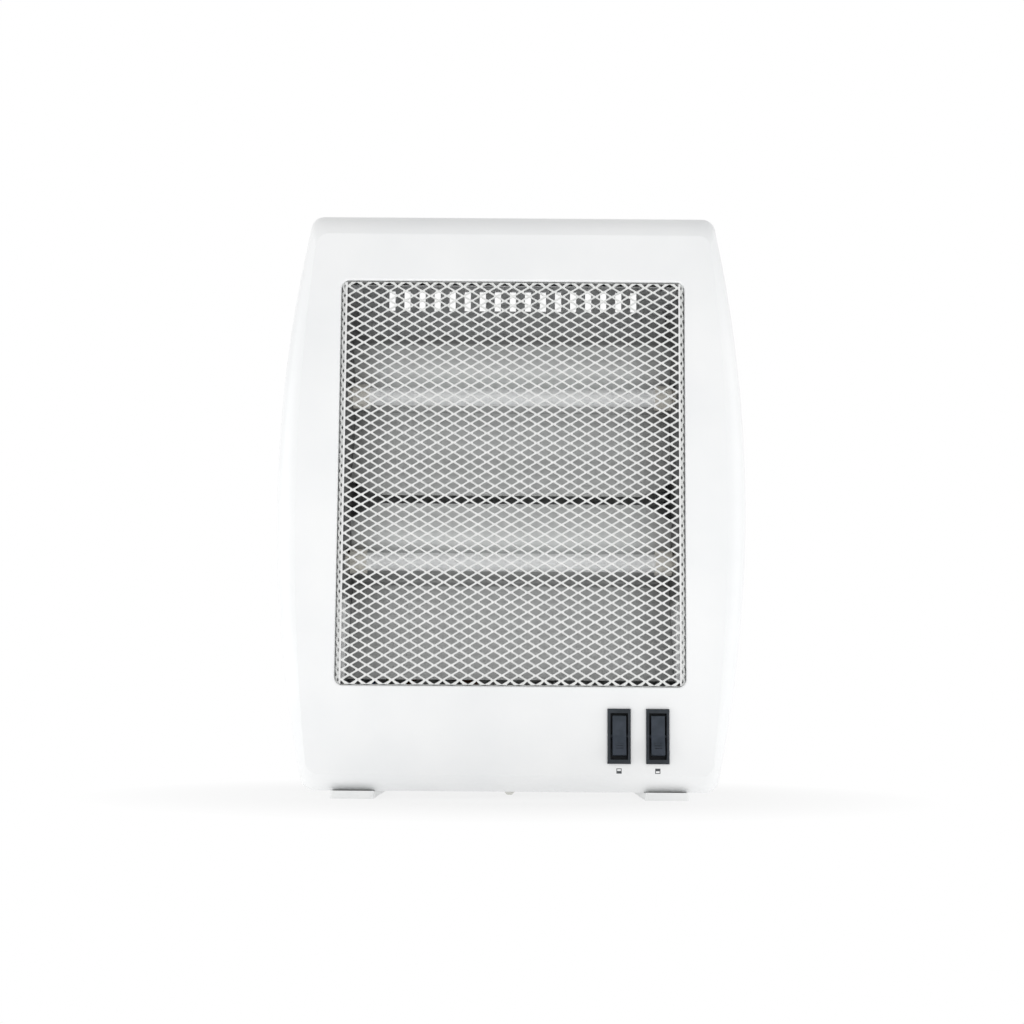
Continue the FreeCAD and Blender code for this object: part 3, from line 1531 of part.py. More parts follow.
def lead_path(points):
    """Straight runs joined by the widest arcs that they leave room for, and the least radius used."""
    edges = []
    radii = []
    here = points[0]
    for past, corner, following in zip(points, points[1:], points[2:]):
        before = corner - past
        after = following - corner
        half_turn = before.getAngle(after) / 2
        set_back = BEND_SHARE * min(before.Length, after.Length)
        radius = set_back / math.tan(half_turn)
        before.normalize()
        after.normalize()
        start = corner - before * set_back
        end = corner + after * set_back
        crown = corner + (after - before).normalize() * radius * (1 / math.cos(half_turn) - 1)
        edges.append(Part.LineSegment(here, start).toShape())
        edges.append(Part.Arc(start, crown, end).toShape())
        radii.append(radius)
        here = end
    edges.append(Part.LineSegment(here, points[-1]).toShape())
    return Part.Wire(edges), min(radii)


for name, route in LEADS.items():
    points = [Vector(value_of(x), value_of(depth) + face_y.value, value_of(z)) for x, depth, z in route]
    path, tightest = lead_path(points)
    ring = Part.Circle(points[0], points[1] - points[0], s.lead_diameter.value / 2).toShape()
    lead = doc.addObject("Part::Feature", name)
    lead.Label = name
    lead.Shape = path.makePipeShell([Part.Wire(ring)], True, False)
    drawn_share = lead.Shape.Volume / (Part.Face(Part.Wire(ring)).Area * path.Length)
    print(f"{name}: least bend {tightest:.1f}, volume over section times length {drawn_share:.3f}")

# Screws of the case, chassis, feet, cut-out, tip-over switch and terminal block.
level_y = (ALONG_X, -90)
group(
    "case_screws",
    [
        screw(f"case_screw_{i}", x, part_y + s.case_well_floor, z, *level_y, s.case_screw_length)
        for i, (x, z) in enumerate(CASE_SCREWS)
    ],
)
group(
    "chassis_screws",
    [
        screw(f"chassis_screw_{i}", x, flange_y + s.plate_sheet, z, *level_y, s.chassis_screw_length)
        for i, (x, z) in enumerate(chassis_spots)
    ],
)
foot_spots = [
    (sign * s.foot_offset, face_y + depth)
    for sign in (-1, 1)
    for depth in (s.foot_screw_front, s.foot_screw_back)
]
foot_seat = s.screw_head_height + s.screw_fit
group(
    "foot_screws",
    [
        screw(f"foot_screw_{i}", x, y, foot_seat, ALONG_X, 180, s.foot_screw_length)
        for i, (x, y) in enumerate(foot_spots)
    ],
)
group(
    "cutout_screws",
    [
        screw(f"cutout_screw_{i}", flange_x, y, z, ALONG_Y, 90, s.cutout_screw_length)
        for i, (y, z) in enumerate(cutout_spots)
    ],
)
group(
    "tip_switch_screws",
    [
        screw(f"tip_screw_{i}", x, y, ear_top, ALONG_Z, 0, s.tip_screw_length)
        for i, (x, y) in enumerate(tip_spots)
    ],
)
group(
    "block_screws",
    [
        screw(f"block_screw_{i}", x, block_front_y, z, ALONG_X, 90, s.block_screw_length)
        for i, (x, z) in enumerate(block_spots)
    ],
)

doc.recompute()
PIECES = [item for item in doc.Objects if item.isDerivedFrom("PartDesign::Body")]
PIECES += [item for item in doc.Objects if item.TypeId in ("Part::Compound", "Part::Feature")]

faults = [item.Name for item in doc.Objects if {"Invalid", "Error"} & set(item.State)]
faults += [item.Name for item in PIECES if item.Shape.isNull() or not item.Shape.isValid()]
if faults:
    raise RuntimeError(f"pieces that failed: {faults}")
os.makedirs("parts", exist_ok=True)
for item in PIECES:
    item.Shape.exportStep(f"parts/{item.Label}.step")
    print(item.Label, len(item.Shape.Solids), round(item.Shape.Volume, 1))
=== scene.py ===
"""Dress the halogen heater: finishes, mesh guard at its real pitch, coils, marks and studio."""
import logging
import math
from collections.abc import Iterable, Mapping
from dataclasses import dataclass, field
from enum import Enum

import bmesh
import bpy
from mathutils import Matrix, Vector


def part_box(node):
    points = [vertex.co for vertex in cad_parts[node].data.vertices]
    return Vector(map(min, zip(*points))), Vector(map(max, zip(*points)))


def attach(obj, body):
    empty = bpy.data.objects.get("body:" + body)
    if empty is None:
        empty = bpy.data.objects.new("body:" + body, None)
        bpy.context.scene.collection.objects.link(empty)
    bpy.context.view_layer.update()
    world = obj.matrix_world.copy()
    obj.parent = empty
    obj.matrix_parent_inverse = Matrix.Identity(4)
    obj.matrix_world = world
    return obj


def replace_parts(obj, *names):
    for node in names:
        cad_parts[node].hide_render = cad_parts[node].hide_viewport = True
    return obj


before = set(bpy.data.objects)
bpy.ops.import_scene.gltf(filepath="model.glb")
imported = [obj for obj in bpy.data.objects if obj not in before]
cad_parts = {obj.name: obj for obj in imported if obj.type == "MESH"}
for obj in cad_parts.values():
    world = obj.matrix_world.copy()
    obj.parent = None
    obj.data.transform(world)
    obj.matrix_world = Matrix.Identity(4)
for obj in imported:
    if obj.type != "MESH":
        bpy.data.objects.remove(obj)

Span = tuple[float, float]
Colour = tuple[float, float, float]
Triple = tuple[float, float, float]

MM = 0.001
BODY = "heater"
QUARTER_TURN = math.radians(90)
HALF_TURN = math.radians(180)
EVEN: Triple = (1.0, 1.0, 1.0)
WHITE = (1.0, 1.0, 1.0, 1.0)
PATTERN_RANGE: Span = (0.3, 0.7)
TONE_EDGES: Span = (0.35, 0.65)

log = logging.getLogger("heater")


class Level(Enum):
    """The two heating tubes, each named for its place in the window."""

    UPPER = "upper"
    LOWER = "lower"


class Side(Enum):
    """The two sides of the heater as its front is looked at."""

    LEFT = "left"
    RIGHT = "right"


class ShaderTree:
    """The shader tree of a material or of the surroundings, built by short calls."""

    def __init__(self, owner: bpy.types.Material | bpy.types.World) -> None:
        """Clear the owner's tree.

        Args:
            owner: The new material or world.
        """
        owner.use_nodes = True
        self.nodes = owner.node_tree.nodes
        self.links = owner.node_tree.links
        self.nodes.clear()
        self.coordinates = self.add("ShaderNodeTexCoord").outputs["Object"]

    def add(self, kind: str, inputs: Mapping[str | int, object] | None = None) -> bpy.types.Node:
        """Add one node.

        Args:
            kind: The node's type.
            inputs: Socket to a plain value or to the output that feeds it.

        Returns:
            The new node.
        """
        node = self.nodes.new(kind)
        for label, value in (inputs or {}).items():
            if isinstance(value, bpy.types.NodeSocket):
                self.links.new(value, node.inputs[label])
            else:
                node.inputs[label].default_value = value
        return node

    def pattern(self, size: float, stretch: Triple, detail: float) -> bpy.types.NodeSocket:
        """Add a noise pattern.

        Args:
            size: The size of its patches in metres.
            stretch: How much finer the pattern is along each axis.
            detail: How many finer layers it has.

        Returns:
            The pattern's value.
        """
        place = self.add("ShaderNodeMapping", {"Vector": self.coordinates, "Scale": stretch})
        noise = self.add("ShaderNodeTexNoise", {
            "Vector": place.outputs[0], "Scale": 1.0 / size, "Detail": detail})
        return noise.outputs[0]

    def tones(self, value: bpy.types.NodeSocket, dark: Colour, light: Colour,
              edges: Span = TONE_EDGES) -> bpy.types.NodeSocket:
        """Turn a value into a colour between two tones.

        Args:
            value: The pattern that chooses the tone.
            dark: The tone at its low end.
            light: The tone at its high end.
            edges: The values where the blend starts and ends.

        Returns:
            The colour.
        """
        ramp = self.add("ShaderNodeValToRGB", {0: value})
        for element, tone, edge in zip(ramp.color_ramp.elements, (dark, light), edges):
            element.color = (*tone, 1.0)
            element.position = edge
        return ramp.outputs[0]

    def spread(self, value: bpy.types.NodeSocket, low: float, high: float) -> bpy.types.NodeSocket:
        """Map a pattern's usual values to a range.

        Args:
            value: The pattern.
            low: The result at its low end.
            high: The result at its high end.

        Returns:
            The mapped value.
        """
        node = self.add("ShaderNodeMapRange", {
            "Value": value, "From Min": PATTERN_RANGE[0], "From Max": PATTERN_RANGE[1],
            "To Min": low, "To Max": high})
        return node.outputs[0]

    def steps(self, value: bpy.types.NodeSocket, points: tuple[Span, ...]) -> bpy.types.NodeSocket:
        """Map a value to a grey level that runs from point to point.

        Args:
            value: The value.
            points: Pairs of a value and its level from 0 to 1, in rising order.

        Returns:
            The level.
        """
        (low, first), *inner, (high, last) = points
        place = self.add("ShaderNodeMapRange", {"Value": value, "From Min": low, "From Max": high})
        ramp = self.add("ShaderNodeValToRGB", {0: place.outputs[0]})
        elements = ramp.color_ramp.elements
        elements[0].color = (first, first, first, 1.0)
        elements[1].color = (last, last, last, 1.0)
        for at, level in inner:
            elements.new((at - low) / (high - low)).color = (level, level, level, 1.0)
        return ramp.outputs[0]

    def relief(self, height: bpy.types.NodeSocket, depth: float) -> bpy.types.NodeSocket:
        """Raise the surface by a pattern.

        Args:
            height: The pattern.
            depth: The relief's depth in metres.

        Returns:
            The bumped normal.
        """
        node = self.add("ShaderNodeBump", {"Strength": 1.0, "Distance": depth, "Height": height})
        return node.outputs[0]

    def combine(self, operation: str, first: object, second: object) -> bpy.types.NodeSocket:
        """Combine two numbers or outputs.

        Args:
            operation: The sum to do.
            first: The first number or output.
            second: The second number or output.

        Returns:
            The result.
        """
        node = self.add("ShaderNodeMath", {0: first, 1: second})
        node.operation = operation
        return node.outputs[0]

    def seen(self) -> bpy.types.NodeSocket:
        """Tell a ray that shows the surroundings from one that only lights the object.

        Returns:
            1 on a camera, mirror or glass ray, and 0 on the rest.
        """
        path = self.add("ShaderNodeLightPath").outputs
        direct = self.combine("MAXIMUM", path["Is Camera Ray"], path["Is Glossy Ray"])
        return self.combine("MAXIMUM", direct, path["Is Transmission Ray"])

    def show(self, shader: bpy.types.Node) -> None:
        """Send a shader to the material's output.

        Args:
            shader: The shader.
        """
        self.add("ShaderNodeOutputMaterial", {"Surface": shader.outputs[0]})


@dataclass(frozen=True)
class Finish:
    """A surface finish: two tones in soft patches, a roughness range and a fine relief."""

    name: str
    dark: Colour
    light: Colour
    patch: float
    roughness: Span
    grain: float
    relief: float
    stretch: Triple = EVEN
    metallic: float = 0.0
    transmission: float = 0.0
    scatter: float = 0.0
    scatter_reach: float = 0.0
    ior: float = 1.5
    specular: float = 0.5
    detail: float = 3.0

    def tone(self, tree: ShaderTree) -> bpy.types.NodeSocket:
        """Make the finish's colour.

        Args:
            tree: The material's tree.

        Returns:
            The colour.
        """
        patches = tree.pattern(self.patch, self.stretch, self.detail)
        return tree.tones(patches, self.dark, self.light)

    def build(self) -> bpy.types.Material:
        """Make the finish's material.

        Returns:
            The material.
        """
        material = bpy.data.materials.new(self.name)
        tree = ShaderTree(material)
        grain = tree.pattern(self.grain, self.stretch, self.detail)
        shader = tree.add("ShaderNodeBsdfPrincipled", {
            "Base Color": self.tone(tree),
            "Roughness": tree.spread(grain, *self.roughness),
            "Normal": tree.relief(grain, self.relief),
            "Metallic": self.metallic,
            "IOR": self.ior,
            "Transmission Weight": self.transmission,
            "Subsurface Weight": self.scatter,
            "Subsurface Radius": EVEN,
            "Subsurface Scale": self.scatter_reach,
            "Specular IOR Level": self.specular,
        })
        tree.show(shader)
        return material


@dataclass(frozen=True)
class PaintedLightSheet(Finish):
    """A sheet with painted shade and painted highlight in stripes along its height and painted
    shade towards its ends.
    """

    # Painted light: grey levels by height give painted shade and painted highlight; the fade
    # across X gives painted shade towards the ends.
    painted_light_bands: tuple[Span, ...] = ()
    ends: Span = (0.0, 1.0)
    end_shade_share: float = 1.0

    def tone(self, tree: ShaderTree) -> bpy.types.NodeSocket:
        """Make the sheet's colour from its tones, its painted shade and highlight along its
        height, and its painted shade towards its ends.

        Args:
            tree: The material's tree.

        Returns:
            The colour.
        """
        # The height steps are painted shade and painted highlight, and the end fade is painted
        # shade, laid over the sheet's own tone patches.
        axes = tree.add("ShaderNodeSeparateXYZ", {0: tree.coordinates}).outputs
        product = tree.add("ShaderNodeVectorMath", {
            0: super().tone(tree), 1: tree.steps(axes["Z"], self.painted_light_bands)})
        product.operation = "MULTIPLY"
        across = tree.add("ShaderNodeMath", {0: axes["X"]})
        across.operation = "ABSOLUTE"
        fade = tree.add("ShaderNodeMapRange", {
            "Value": across.outputs[0], "From Min": self.ends[0], "From Max": self.ends[1],
            "To Min": 1.0, "To Max": self.end_shade_share})
        faded = tree.add("ShaderNodeVectorMath", {0: product.outputs[0], 1: fade.outputs[0]})
        faded.operation = "MULTIPLY"
        return faded.outputs[0]


@dataclass(frozen=True)
class StripedSleeve:
    """A two-colour lead sleeve with slanting stripes."""

    name: str
    first: Colour
    second: Colour
    pitch: float = 4.0 * MM
    waver: float = 0.4
    edges: Span = (0.48, 0.52)
    roughness: Span = (0.45, 0.6)
    grain: float = 0.5 * MM
    detail: float = 2.0
    relief: float = 0.01 * MM

    def build(self) -> bpy.types.Material:
        """Make the sleeve's material.

        Returns:
            The material.
        """
        material = bpy.data.materials.new(self.name)
        tree = ShaderTree(material)
        wave = tree.add("ShaderNodeTexWave", {
            "Vector": tree.coordinates, "Scale": 1.0 / self.pitch, "Distortion": self.waver})
        wave.bands_direction = "DIAGONAL"
        grain = tree.pattern(self.grain, EVEN, self.detail)
        shader = tree.add("ShaderNodeBsdfPrincipled", {
            "Base Color": tree.tones(wave.outputs[0], self.first, self.second, self.edges),
            "Roughness": tree.spread(grain, *self.roughness),
            "Normal": tree.relief(grain, self.relief),
        })
        tree.show(shader)
        return material


CASE_WHITE = Finish("moulded_white", (0.815, 0.826, 0.832), (0.855, 0.862, 0.864), 60 * MM,
                    (0.30, 0.38), 0.7 * MM, 0.004 * MM)
FOOT_WHITE = Finish("moulded_white_foot", (0.80, 0.81, 0.81), (0.84, 0.845, 0.84), 40 * MM,
                    (0.36, 0.46), 0.6 * MM, 0.006 * MM)
GUARD_COAT = Finish("guard_powder_coat", (0.73, 0.74, 0.73), (0.80, 0.805, 0.795), 9 * MM,
                    (0.34, 0.5), 0.9 * MM, 0.012 * MM)
# Painted shade below each tube, along the top edge and towards the ends; painted highlight just
# above each tube.
ROLLED_SHEET = PaintedLightSheet("rolled_bright_sheet", (0.82, 0.83, 0.825), (0.94, 0.95, 0.945), 6 * MM,
                          (0.42, 0.56), 0.8 * MM, 0.0025 * MM, stretch=(0.03, 1.0, 1.0),
                          metallic=0.3, ends=(72 * MM, 98 * MM), end_shade_share=0.55, painted_light_bands=(
                              (69.5 * MM, 0.62), (127.2 * MM, 0.69), (127.8 * MM, 0.36),
                              (133.0 * MM, 0.36), (141.0 * MM, 0.65), (147.0 * MM, 0.95),
                              (156.0 * MM, 1.0), (166.0 * MM, 0.66), (176.0 * MM, 0.6),
                              (181.0 * MM, 0.64), (235.8 * MM, 0.72), (236.4 * MM, 0.42),
                              (246.0 * MM, 0.8), (252.0 * MM, 1.0), (259.0 * MM, 0.9),
                              (266.0 * MM, 0.56), (273.5 * MM, 0.5), (274.5 * MM, 0.2),
                              (279.0 * MM, 0.16)))
# Painted shade on the end plates from about 120 mm up; the lower part keeps its full tone.
ZINC_SHEET = PaintedLightSheet("zinc_plated_sheet", (0.76, 0.765, 0.77), (0.88, 0.885, 0.89), 7 * MM,
                        (0.34, 0.5), 1.2 * MM, 0.004 * MM, metallic=0.6, painted_light_bands=(
                            (60.0 * MM, 1.0), (110.0 * MM, 1.0), (120.0 * MM, 0.24),
                            (310.0 * MM, 0.18)))
QUARTZ = Finish("milky_quartz", (0.88, 0.89, 0.90), (0.97, 0.975, 0.98), 1.6 * MM,
                (0.30, 0.45), 0.8 * MM, 0.01 * MM, stretch=(1.0, 0.05, 0.05), transmission=0.03,
                scatter=0.12, scatter_reach=2 * MM, ior=1.46)
COIL_WIRE = Finish("resistance_wire", (0.50, 0.48, 0.46), (0.66, 0.64, 0.62), 3 * MM,
                   (0.35, 0.55), 0.2 * MM, 0.004 * MM, metallic=1.0)
CERAMIC = Finish("unglazed_ceramic", (0.74, 0.71, 0.65), (0.84, 0.82, 0.77), 5 * MM,
                 (0.7, 0.9), 0.5 * MM, 0.02 * MM)
SWITCH_BLACK = Finish("switch_black", (0.016, 0.021, 0.027), (0.028, 0.034, 0.042), 4 * MM,
                      (0.40, 0.52), 0.35 * MM, 0.006 * MM, specular=0.25)
ROCKER_GREY = Finish("rocker_dark_grey", (0.026, 0.034, 0.045), (0.038, 0.047, 0.062), 5 * MM,
                     (0.36, 0.46), 0.4 * MM, 0.004 * MM, specular=0.2)
BRASS = Finish("stamped_brass", (0.62, 0.47, 0.22), (0.78, 0.64, 0.36), 2 * MM,
               (0.25, 0.4), 0.3 * MM, 0.003 * MM, metallic=1.0)
SCREW_ZINC = Finish("screw_zinc", (0.50, 0.50, 0.49), (0.66, 0.66, 0.65), 1.5 * MM,
                    (0.26, 0.42), 0.3 * MM, 0.003 * MM, metallic=1.0)
# Painted shade: this near-black stands in for the shade inside each cross recess.
PAINTED_RECESS_SHADE = Finish("drive_recess_painted_shade", (0.02, 0.02, 0.02), (0.05, 0.05, 0.05), 1 * MM,
                     (0.5, 0.7), 0.2 * MM, 0.004 * MM, metallic=1.0)
NYLON = Finish("block_nylon", (0.72, 0.72, 0.67), (0.80, 0.80, 0.76), 4 * MM,
               (0.45, 0.6), 0.5 * MM, 0.008 * MM)
BROWN_SLEEVE = Finish("live_sleeve", (0.16, 0.065, 0.03), (0.24, 0.11, 0.055), 3 * MM,
                      (0.42, 0.58), 0.4 * MM, 0.01 * MM)
BLUE_SLEEVE = Finish("neutral_sleeve", (0.03, 0.10, 0.34), (0.06, 0.16, 0.46), 3 * MM,
                     (0.42, 0.58), 0.4 * MM, 0.01 * MM)
EARTH_SLEEVE = StripedSleeve("earth_sleeve", (0.09, 0.32, 0.06), (0.80, 0.66, 0.05))
MARK_INK = Finish("printed_mark", (0.045, 0.05, 0.056), (0.075, 0.08, 0.088), 0.6 * MM,
                  (0.5, 0.65), 0.2 * MM, 0.002 * MM)


def dress(names: Iterable[str], finish: Finish | StripedSleeve) -> bpy.types.Material:
    """Give CAD nodes a finish.

    Args:
        names: The nodes.
        finish: Their finish.

    Returns:
        The finish's material.
    """
    material = finish.build()
    for name in names:
        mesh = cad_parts[name].data
        if not mesh.materials:
            mesh.materials.append(material)
        for index in range(len(mesh.materials)):
            mesh.materials[index] = material
        log.info("%s: %s", name, finish.name)
    return material


def piece_of(name: str, mesh: bpy.types.Mesh) -> bpy.types.Object:
    """Put a finished mesh into the scene as a piece that rides on the heater's body.

    Args:
        name: The piece's name.
        mesh: Its mesh, already in place.

    Returns:
        The piece.
    """
    piece = bpy.data.objects.new(name, mesh)
    bpy.context.scene.collection.objects.link(piece)
    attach(piece, BODY)
    log.info("%s: %d faces", name, len(mesh.polygons))
    return piece


def add_block(shape: bmesh.types.BMesh, low: Triple, high: Triple) -> None:
    """Add a closed block to a mesh.

    Args:
        shape: The mesh.
        low: The block's lowest corner.
        high: The block's highest corner.
    """
    middle = (Vector(low) + Vector(high)) / 2
    size = Vector(high) - Vector(low)
    bmesh.ops.create_cube(shape, size=1.0, matrix=Matrix.LocRotScale(middle, None, size))


class PieceGraph:
    """A geometry tree with named inputs that ends in real faces with a material."""

    def __init__(self, name: str, inputs: Mapping[str, str]) -> None:
        """Make the tree and its inputs.

        Args:
            name: The tree's name.
            inputs: Input name to socket type.
        """
        self.tree = bpy.data.node_groups.new(name, "GeometryNodeTree")
        self.tree.interface.new_socket(
            "Geometry", in_out="OUTPUT", socket_type="NodeSocketGeometry")
        self.identifiers = {
            label: self.tree.interface.new_socket(
                label, in_out="INPUT", socket_type=kind).identifier
            for label, kind in inputs.items()
        }
        self.given = self.tree.nodes.new("NodeGroupInput").outputs

    def add(self, kind: str, inputs: Mapping[str | int, object] | None = None) -> bpy.types.Node:
        """Add one node.

        Args:
            kind: The node's type.
            inputs: Socket to a plain value or to the output that feeds it.

        Returns:
            The new node.
        """
        node = self.tree.nodes.new(kind)
        for label, value in (inputs or {}).items():
            if isinstance(value, bpy.types.NodeSocket):
                self.tree.links.new(value, node.inputs[label])
            else:
                node.inputs[label].default_value = value
        return node

    def vector(self, x: object, y: object, z: object) -> bpy.types.NodeSocket:
        """Join three numbers or outputs into a vector.

        Args:
            x: The part along X.
            y: The part along Y.
            z: The part along Z.

        Returns:
            The vector.
        """
        return self.add("ShaderNodeCombineXYZ", {0: x, 1: y, 2: z}).outputs[0]

    def close(self, geometry: bpy.types.NodeSocket) -> None:
        """End the tree: instances become faces and take the material input.

        Args:
            geometry: What the tree has made.
        """
        real = self.add("GeometryNodeRealizeInstances", {0: geometry})
        coated = self.add("GeometryNodeSetMaterial", {
            "Geometry": real.outputs[0], "Material": self.given["Material"]})
        self.add("NodeGroupOutput", {0: coated.outputs[0]})

    def make(self, name: str, values: Mapping[str, object]) -> bpy.types.Mesh:
        """Run the tree once.

        Args:
            name: The new mesh's name.
            values: Input name to value.

        Returns:
            The result as a plain mesh.
        """
        host = bpy.data.objects.new(f"{name}_host", bpy.data.meshes.new(f"{name}_host"))
        bpy.context.scene.collection.objects.link(host)
        modifier = host.modifiers.new(name, "NODES")
        modifier.node_group = self.tree
        for label, value in values.items():
            modifier[self.identifiers[label]] = value
        graph = bpy.context.evaluated_depsgraph_get()
        mesh = bpy.data.meshes.new_from_object(host.evaluated_get(graph), depsgraph=graph)
        mesh.name = name
        host.modifiers.remove(modifier)
        bpy.data.objects.remove(host)
        return mesh


@dataclass
class Housing:
    """The moulded case: front frame, rear cover and the foot rails under them."""

    case_nodes: tuple[str, ...] = ("front_frame", "rear_cover")
    foot_nodes: tuple[str, ...] = ("left_foot", "right_foot")

    def build(self) -> None:
        """Dress the mouldings."""
        dress(self.case_nodes, CASE_WHITE)
        dress(self.foot_nodes, FOOT_WHITE)


@dataclass
class Guard:
    """The folded tray of expanded mesh in the window, at its real pitch."""

    half_width: float = 99.8 * MM
    half_height: float = 120.1 * MM
    mouth_half_width: float = 102.5 * MM
    mouth_half_height: float = 120.5 * MM
    depth: float = 10.4 * MM
    pitch_x: float = 9.9 * MM
    pitch_z: float = 5.74 * MM
    strand: float = 0.98 * MM
    fold_strand: float = 0.8 * MM
    sheet: float = 0.8 * MM
    strand_tilt: float = 0.16 * MM
    bond_share: float = 0.86
    corner_notch: float = 2.5 * MM
    ledge: float = 2.0 * MM
    ledge_spread: float = 0.42 * MM
    ledge_draw: float = 3.0
    ledge_fill: float = 0.4
    reach_layer: str = "hole_reach"
    rim: float = 3.0 * MM
    rim_stop: float = 14.0 * MM
    node: str = "mesh_guard"
    weld: float = 0.001 * MM

    def opening(self) -> bpy.types.Object:
        """Make one mesh opening: the ring of half strands round a six-sided hole.

        Returns:
            The ring's object, in the XZ plane about the origin.
        """
        reach_x, reach_z = self.pitch_x / 2, self.pitch_z / 2
        middle = reach_x * reach_z / math.hypot(reach_x, reach_z)
        share = 1.0 - self.strand / 2 / middle
        tip = reach_x * share * self.bond_share
        blunt = reach_z * share * (1.0 - self.bond_share)
        outer = [(0.0, reach_z, 0.0), (reach_x, 0.0, 0.0), (reach_x, 0.0, 0.0),
                 (0.0, -reach_z, 0.0), (-reach_x, 0.0, 0.0), (-reach_x, 0.0, 0.0)]
        back = self.strand_tilt
        hole = [(0.0, reach_z * share, -back), (tip, blunt, -back), (tip, -blunt, back),
                (0.0, -reach_z * share, back), (-tip, -blunt, back), (-tip, blunt, -back)]
        shape = bmesh.new()
        reach = shape.verts.layers.float_vector.new(self.reach_layer)
        rings = []
        for lift in (0.0, self.sheet):
            rings.append([[shape.verts.new((x, lift + y, z)) for x, z, y in ring]
                          for ring in (outer, hole)])
            for vertex in rings[-1][1]:
                vertex[reach] = (vertex.co.x, 0.0, vertex.co.z)
        for index in range(len(hole)):
            after = (index + 1) % len(hole)
            for edge, inner in rings:
                shape.faces.new((edge[index], edge[after], inner[after], inner[index]))
            (_, near), (_, far) = rings
            shape.faces.new((near[index], near[after], far[after], far[index]))
        bmesh.ops.remove_doubles(shape, verts=shape.verts, dist=self.weld)
        mesh = bpy.data.meshes.new("guard_opening")
        shape.to_mesh(mesh)
        shape.free()
        unit = bpy.data.objects.new("guard_opening", mesh)
        bpy.context.scene.collection.objects.link(unit)
        return unit

    def lattice(self, columns: int, rows: int, material: bpy.types.Material) -> bpy.types.Mesh:
        """Repeat the opening over the flat sheet.

        Args:
            columns: Openings across in one row.
            rows: Rows in each of the two staggered sets.
            material: The guard's material.

        Returns:
            The flat lattice as a mesh.
        """
        graph = PieceGraph("guard_lattice", {
            "Columns": "NodeSocketInt", "Rows": "NodeSocketInt", "Pitch Across": "NodeSocketFloat",
            "Pitch Up": "NodeSocketFloat", "Opening": "NodeSocketObject",
            "Material": "NodeSocketMaterial"})
        spans = []
        for count, pitch in (("Columns", "Pitch Across"), ("Rows", "Pitch Up")):
            gaps = graph.add("ShaderNodeMath", {0: graph.given[count], 1: 1.0})
            gaps.operation = "SUBTRACT"
            span = graph.add("ShaderNodeMath", {0: gaps.outputs[0], 1: graph.given[pitch]})
            span.operation = "MULTIPLY"
            half = graph.add("ShaderNodeMath", {0: graph.given[pitch], 1: 0.5})
            half.operation = "MULTIPLY"
            spans.append((span.outputs[0], half.outputs[0]))
        (width, half_x), (height, half_z) = spans
        grid = graph.add("GeometryNodeMeshGrid", {
            "Size X": width, "Size Y": height,
            "Vertices X": graph.given["Columns"], "Vertices Y": graph.given["Rows"]})
        upright = graph.add("GeometryNodeTransform", {
            "Geometry": grid.outputs[0], "Rotation": (QUARTER_TURN, 0.0, 0.0)})
        between = graph.add("GeometryNodeTransform", {
            "Geometry": upright.outputs[0], "Translation": graph.vector(half_x, 0.0, half_z)})
        both = graph.add("GeometryNodeJoinGeometry", {0: upright.outputs[0]})
        graph.tree.links.new(between.outputs[0], both.inputs[0])
        unit = graph.add("GeometryNodeObjectInfo", {"Object": graph.given["Opening"]})
        spread = graph.add("GeometryNodeInstanceOnPoints", {
            "Points": both.outputs[0], "Instance": unit.outputs["Geometry"]})
        graph.close(spread.outputs[0])
        opening = self.opening()
        mesh = graph.make("guard_mesh", {
            "Columns": columns, "Rows": rows, "Pitch Across": self.pitch_x,
            "Pitch Up": self.pitch_z, "Opening": opening, "Material": material})
        bpy.data.objects.remove(opening)
        return mesh

    def skirt(self, over: float, flare: float) -> Span:
        """Place a point of the skirt: out over a narrow ledge, then straight back.

        Args:
            over: How far out over the fold the point is on the flat sheet.
            flare: How much wider the window's mouth is than the fold.

        Returns:
            How far out and how far back the folded point is.
        """
        run = math.hypot(flare, self.ledge) * self.ledge_draw
        if over < run:
            return flare * over / run, self.ledge * over / run
        return flare, self.ledge + over - run

    def fold(self, shape: bmesh.types.BMesh, front: float, middle: float) -> None:
        """Trim the flat lattice and fold its skirt, with openings closed up, to the mouth.

        Args:
            shape: The flat lattice about the origin.
            front: The Y of the guard's front.
            middle: The Z of the guard's middle.
        """
        flare_x = self.mouth_half_width + self.ledge_spread - self.half_width
        flare_z = self.mouth_half_height + self.ledge_spread - self.half_height
        reach = shape.verts.layers.float_vector[self.reach_layer]
        spare = []
        for vertex in shape.verts:
            if abs(vertex.co.x) > self.half_width or abs(vertex.co.z) > self.half_height:
                vertex.co -= vertex[reach] * self.ledge_fill
            over_x = max(abs(vertex.co.x) - self.half_width, 0.0)
            over_z = max(abs(vertex.co.z) - self.half_height, 0.0)
            out_x, back_x = self.skirt(over_x, flare_x)
            out_z, back_z = self.skirt(over_z, flare_z)
            back = max(back_x, back_z)
            if back > self.depth or min(over_x, over_z) > self.corner_notch:
                spare.append(vertex)
                continue
            x = min(abs(vertex.co.x), self.half_width) + out_x
            z = min(abs(vertex.co.z), self.half_height) + out_z
            vertex.co = (math.copysign(x, vertex.co.x), front + vertex.co.y + back,
                         middle + math.copysign(z, vertex.co.z))
        bmesh.ops.delete(shape, geom=spare, context="VERTS")
        shape.verts.layers.float_vector.remove(reach)

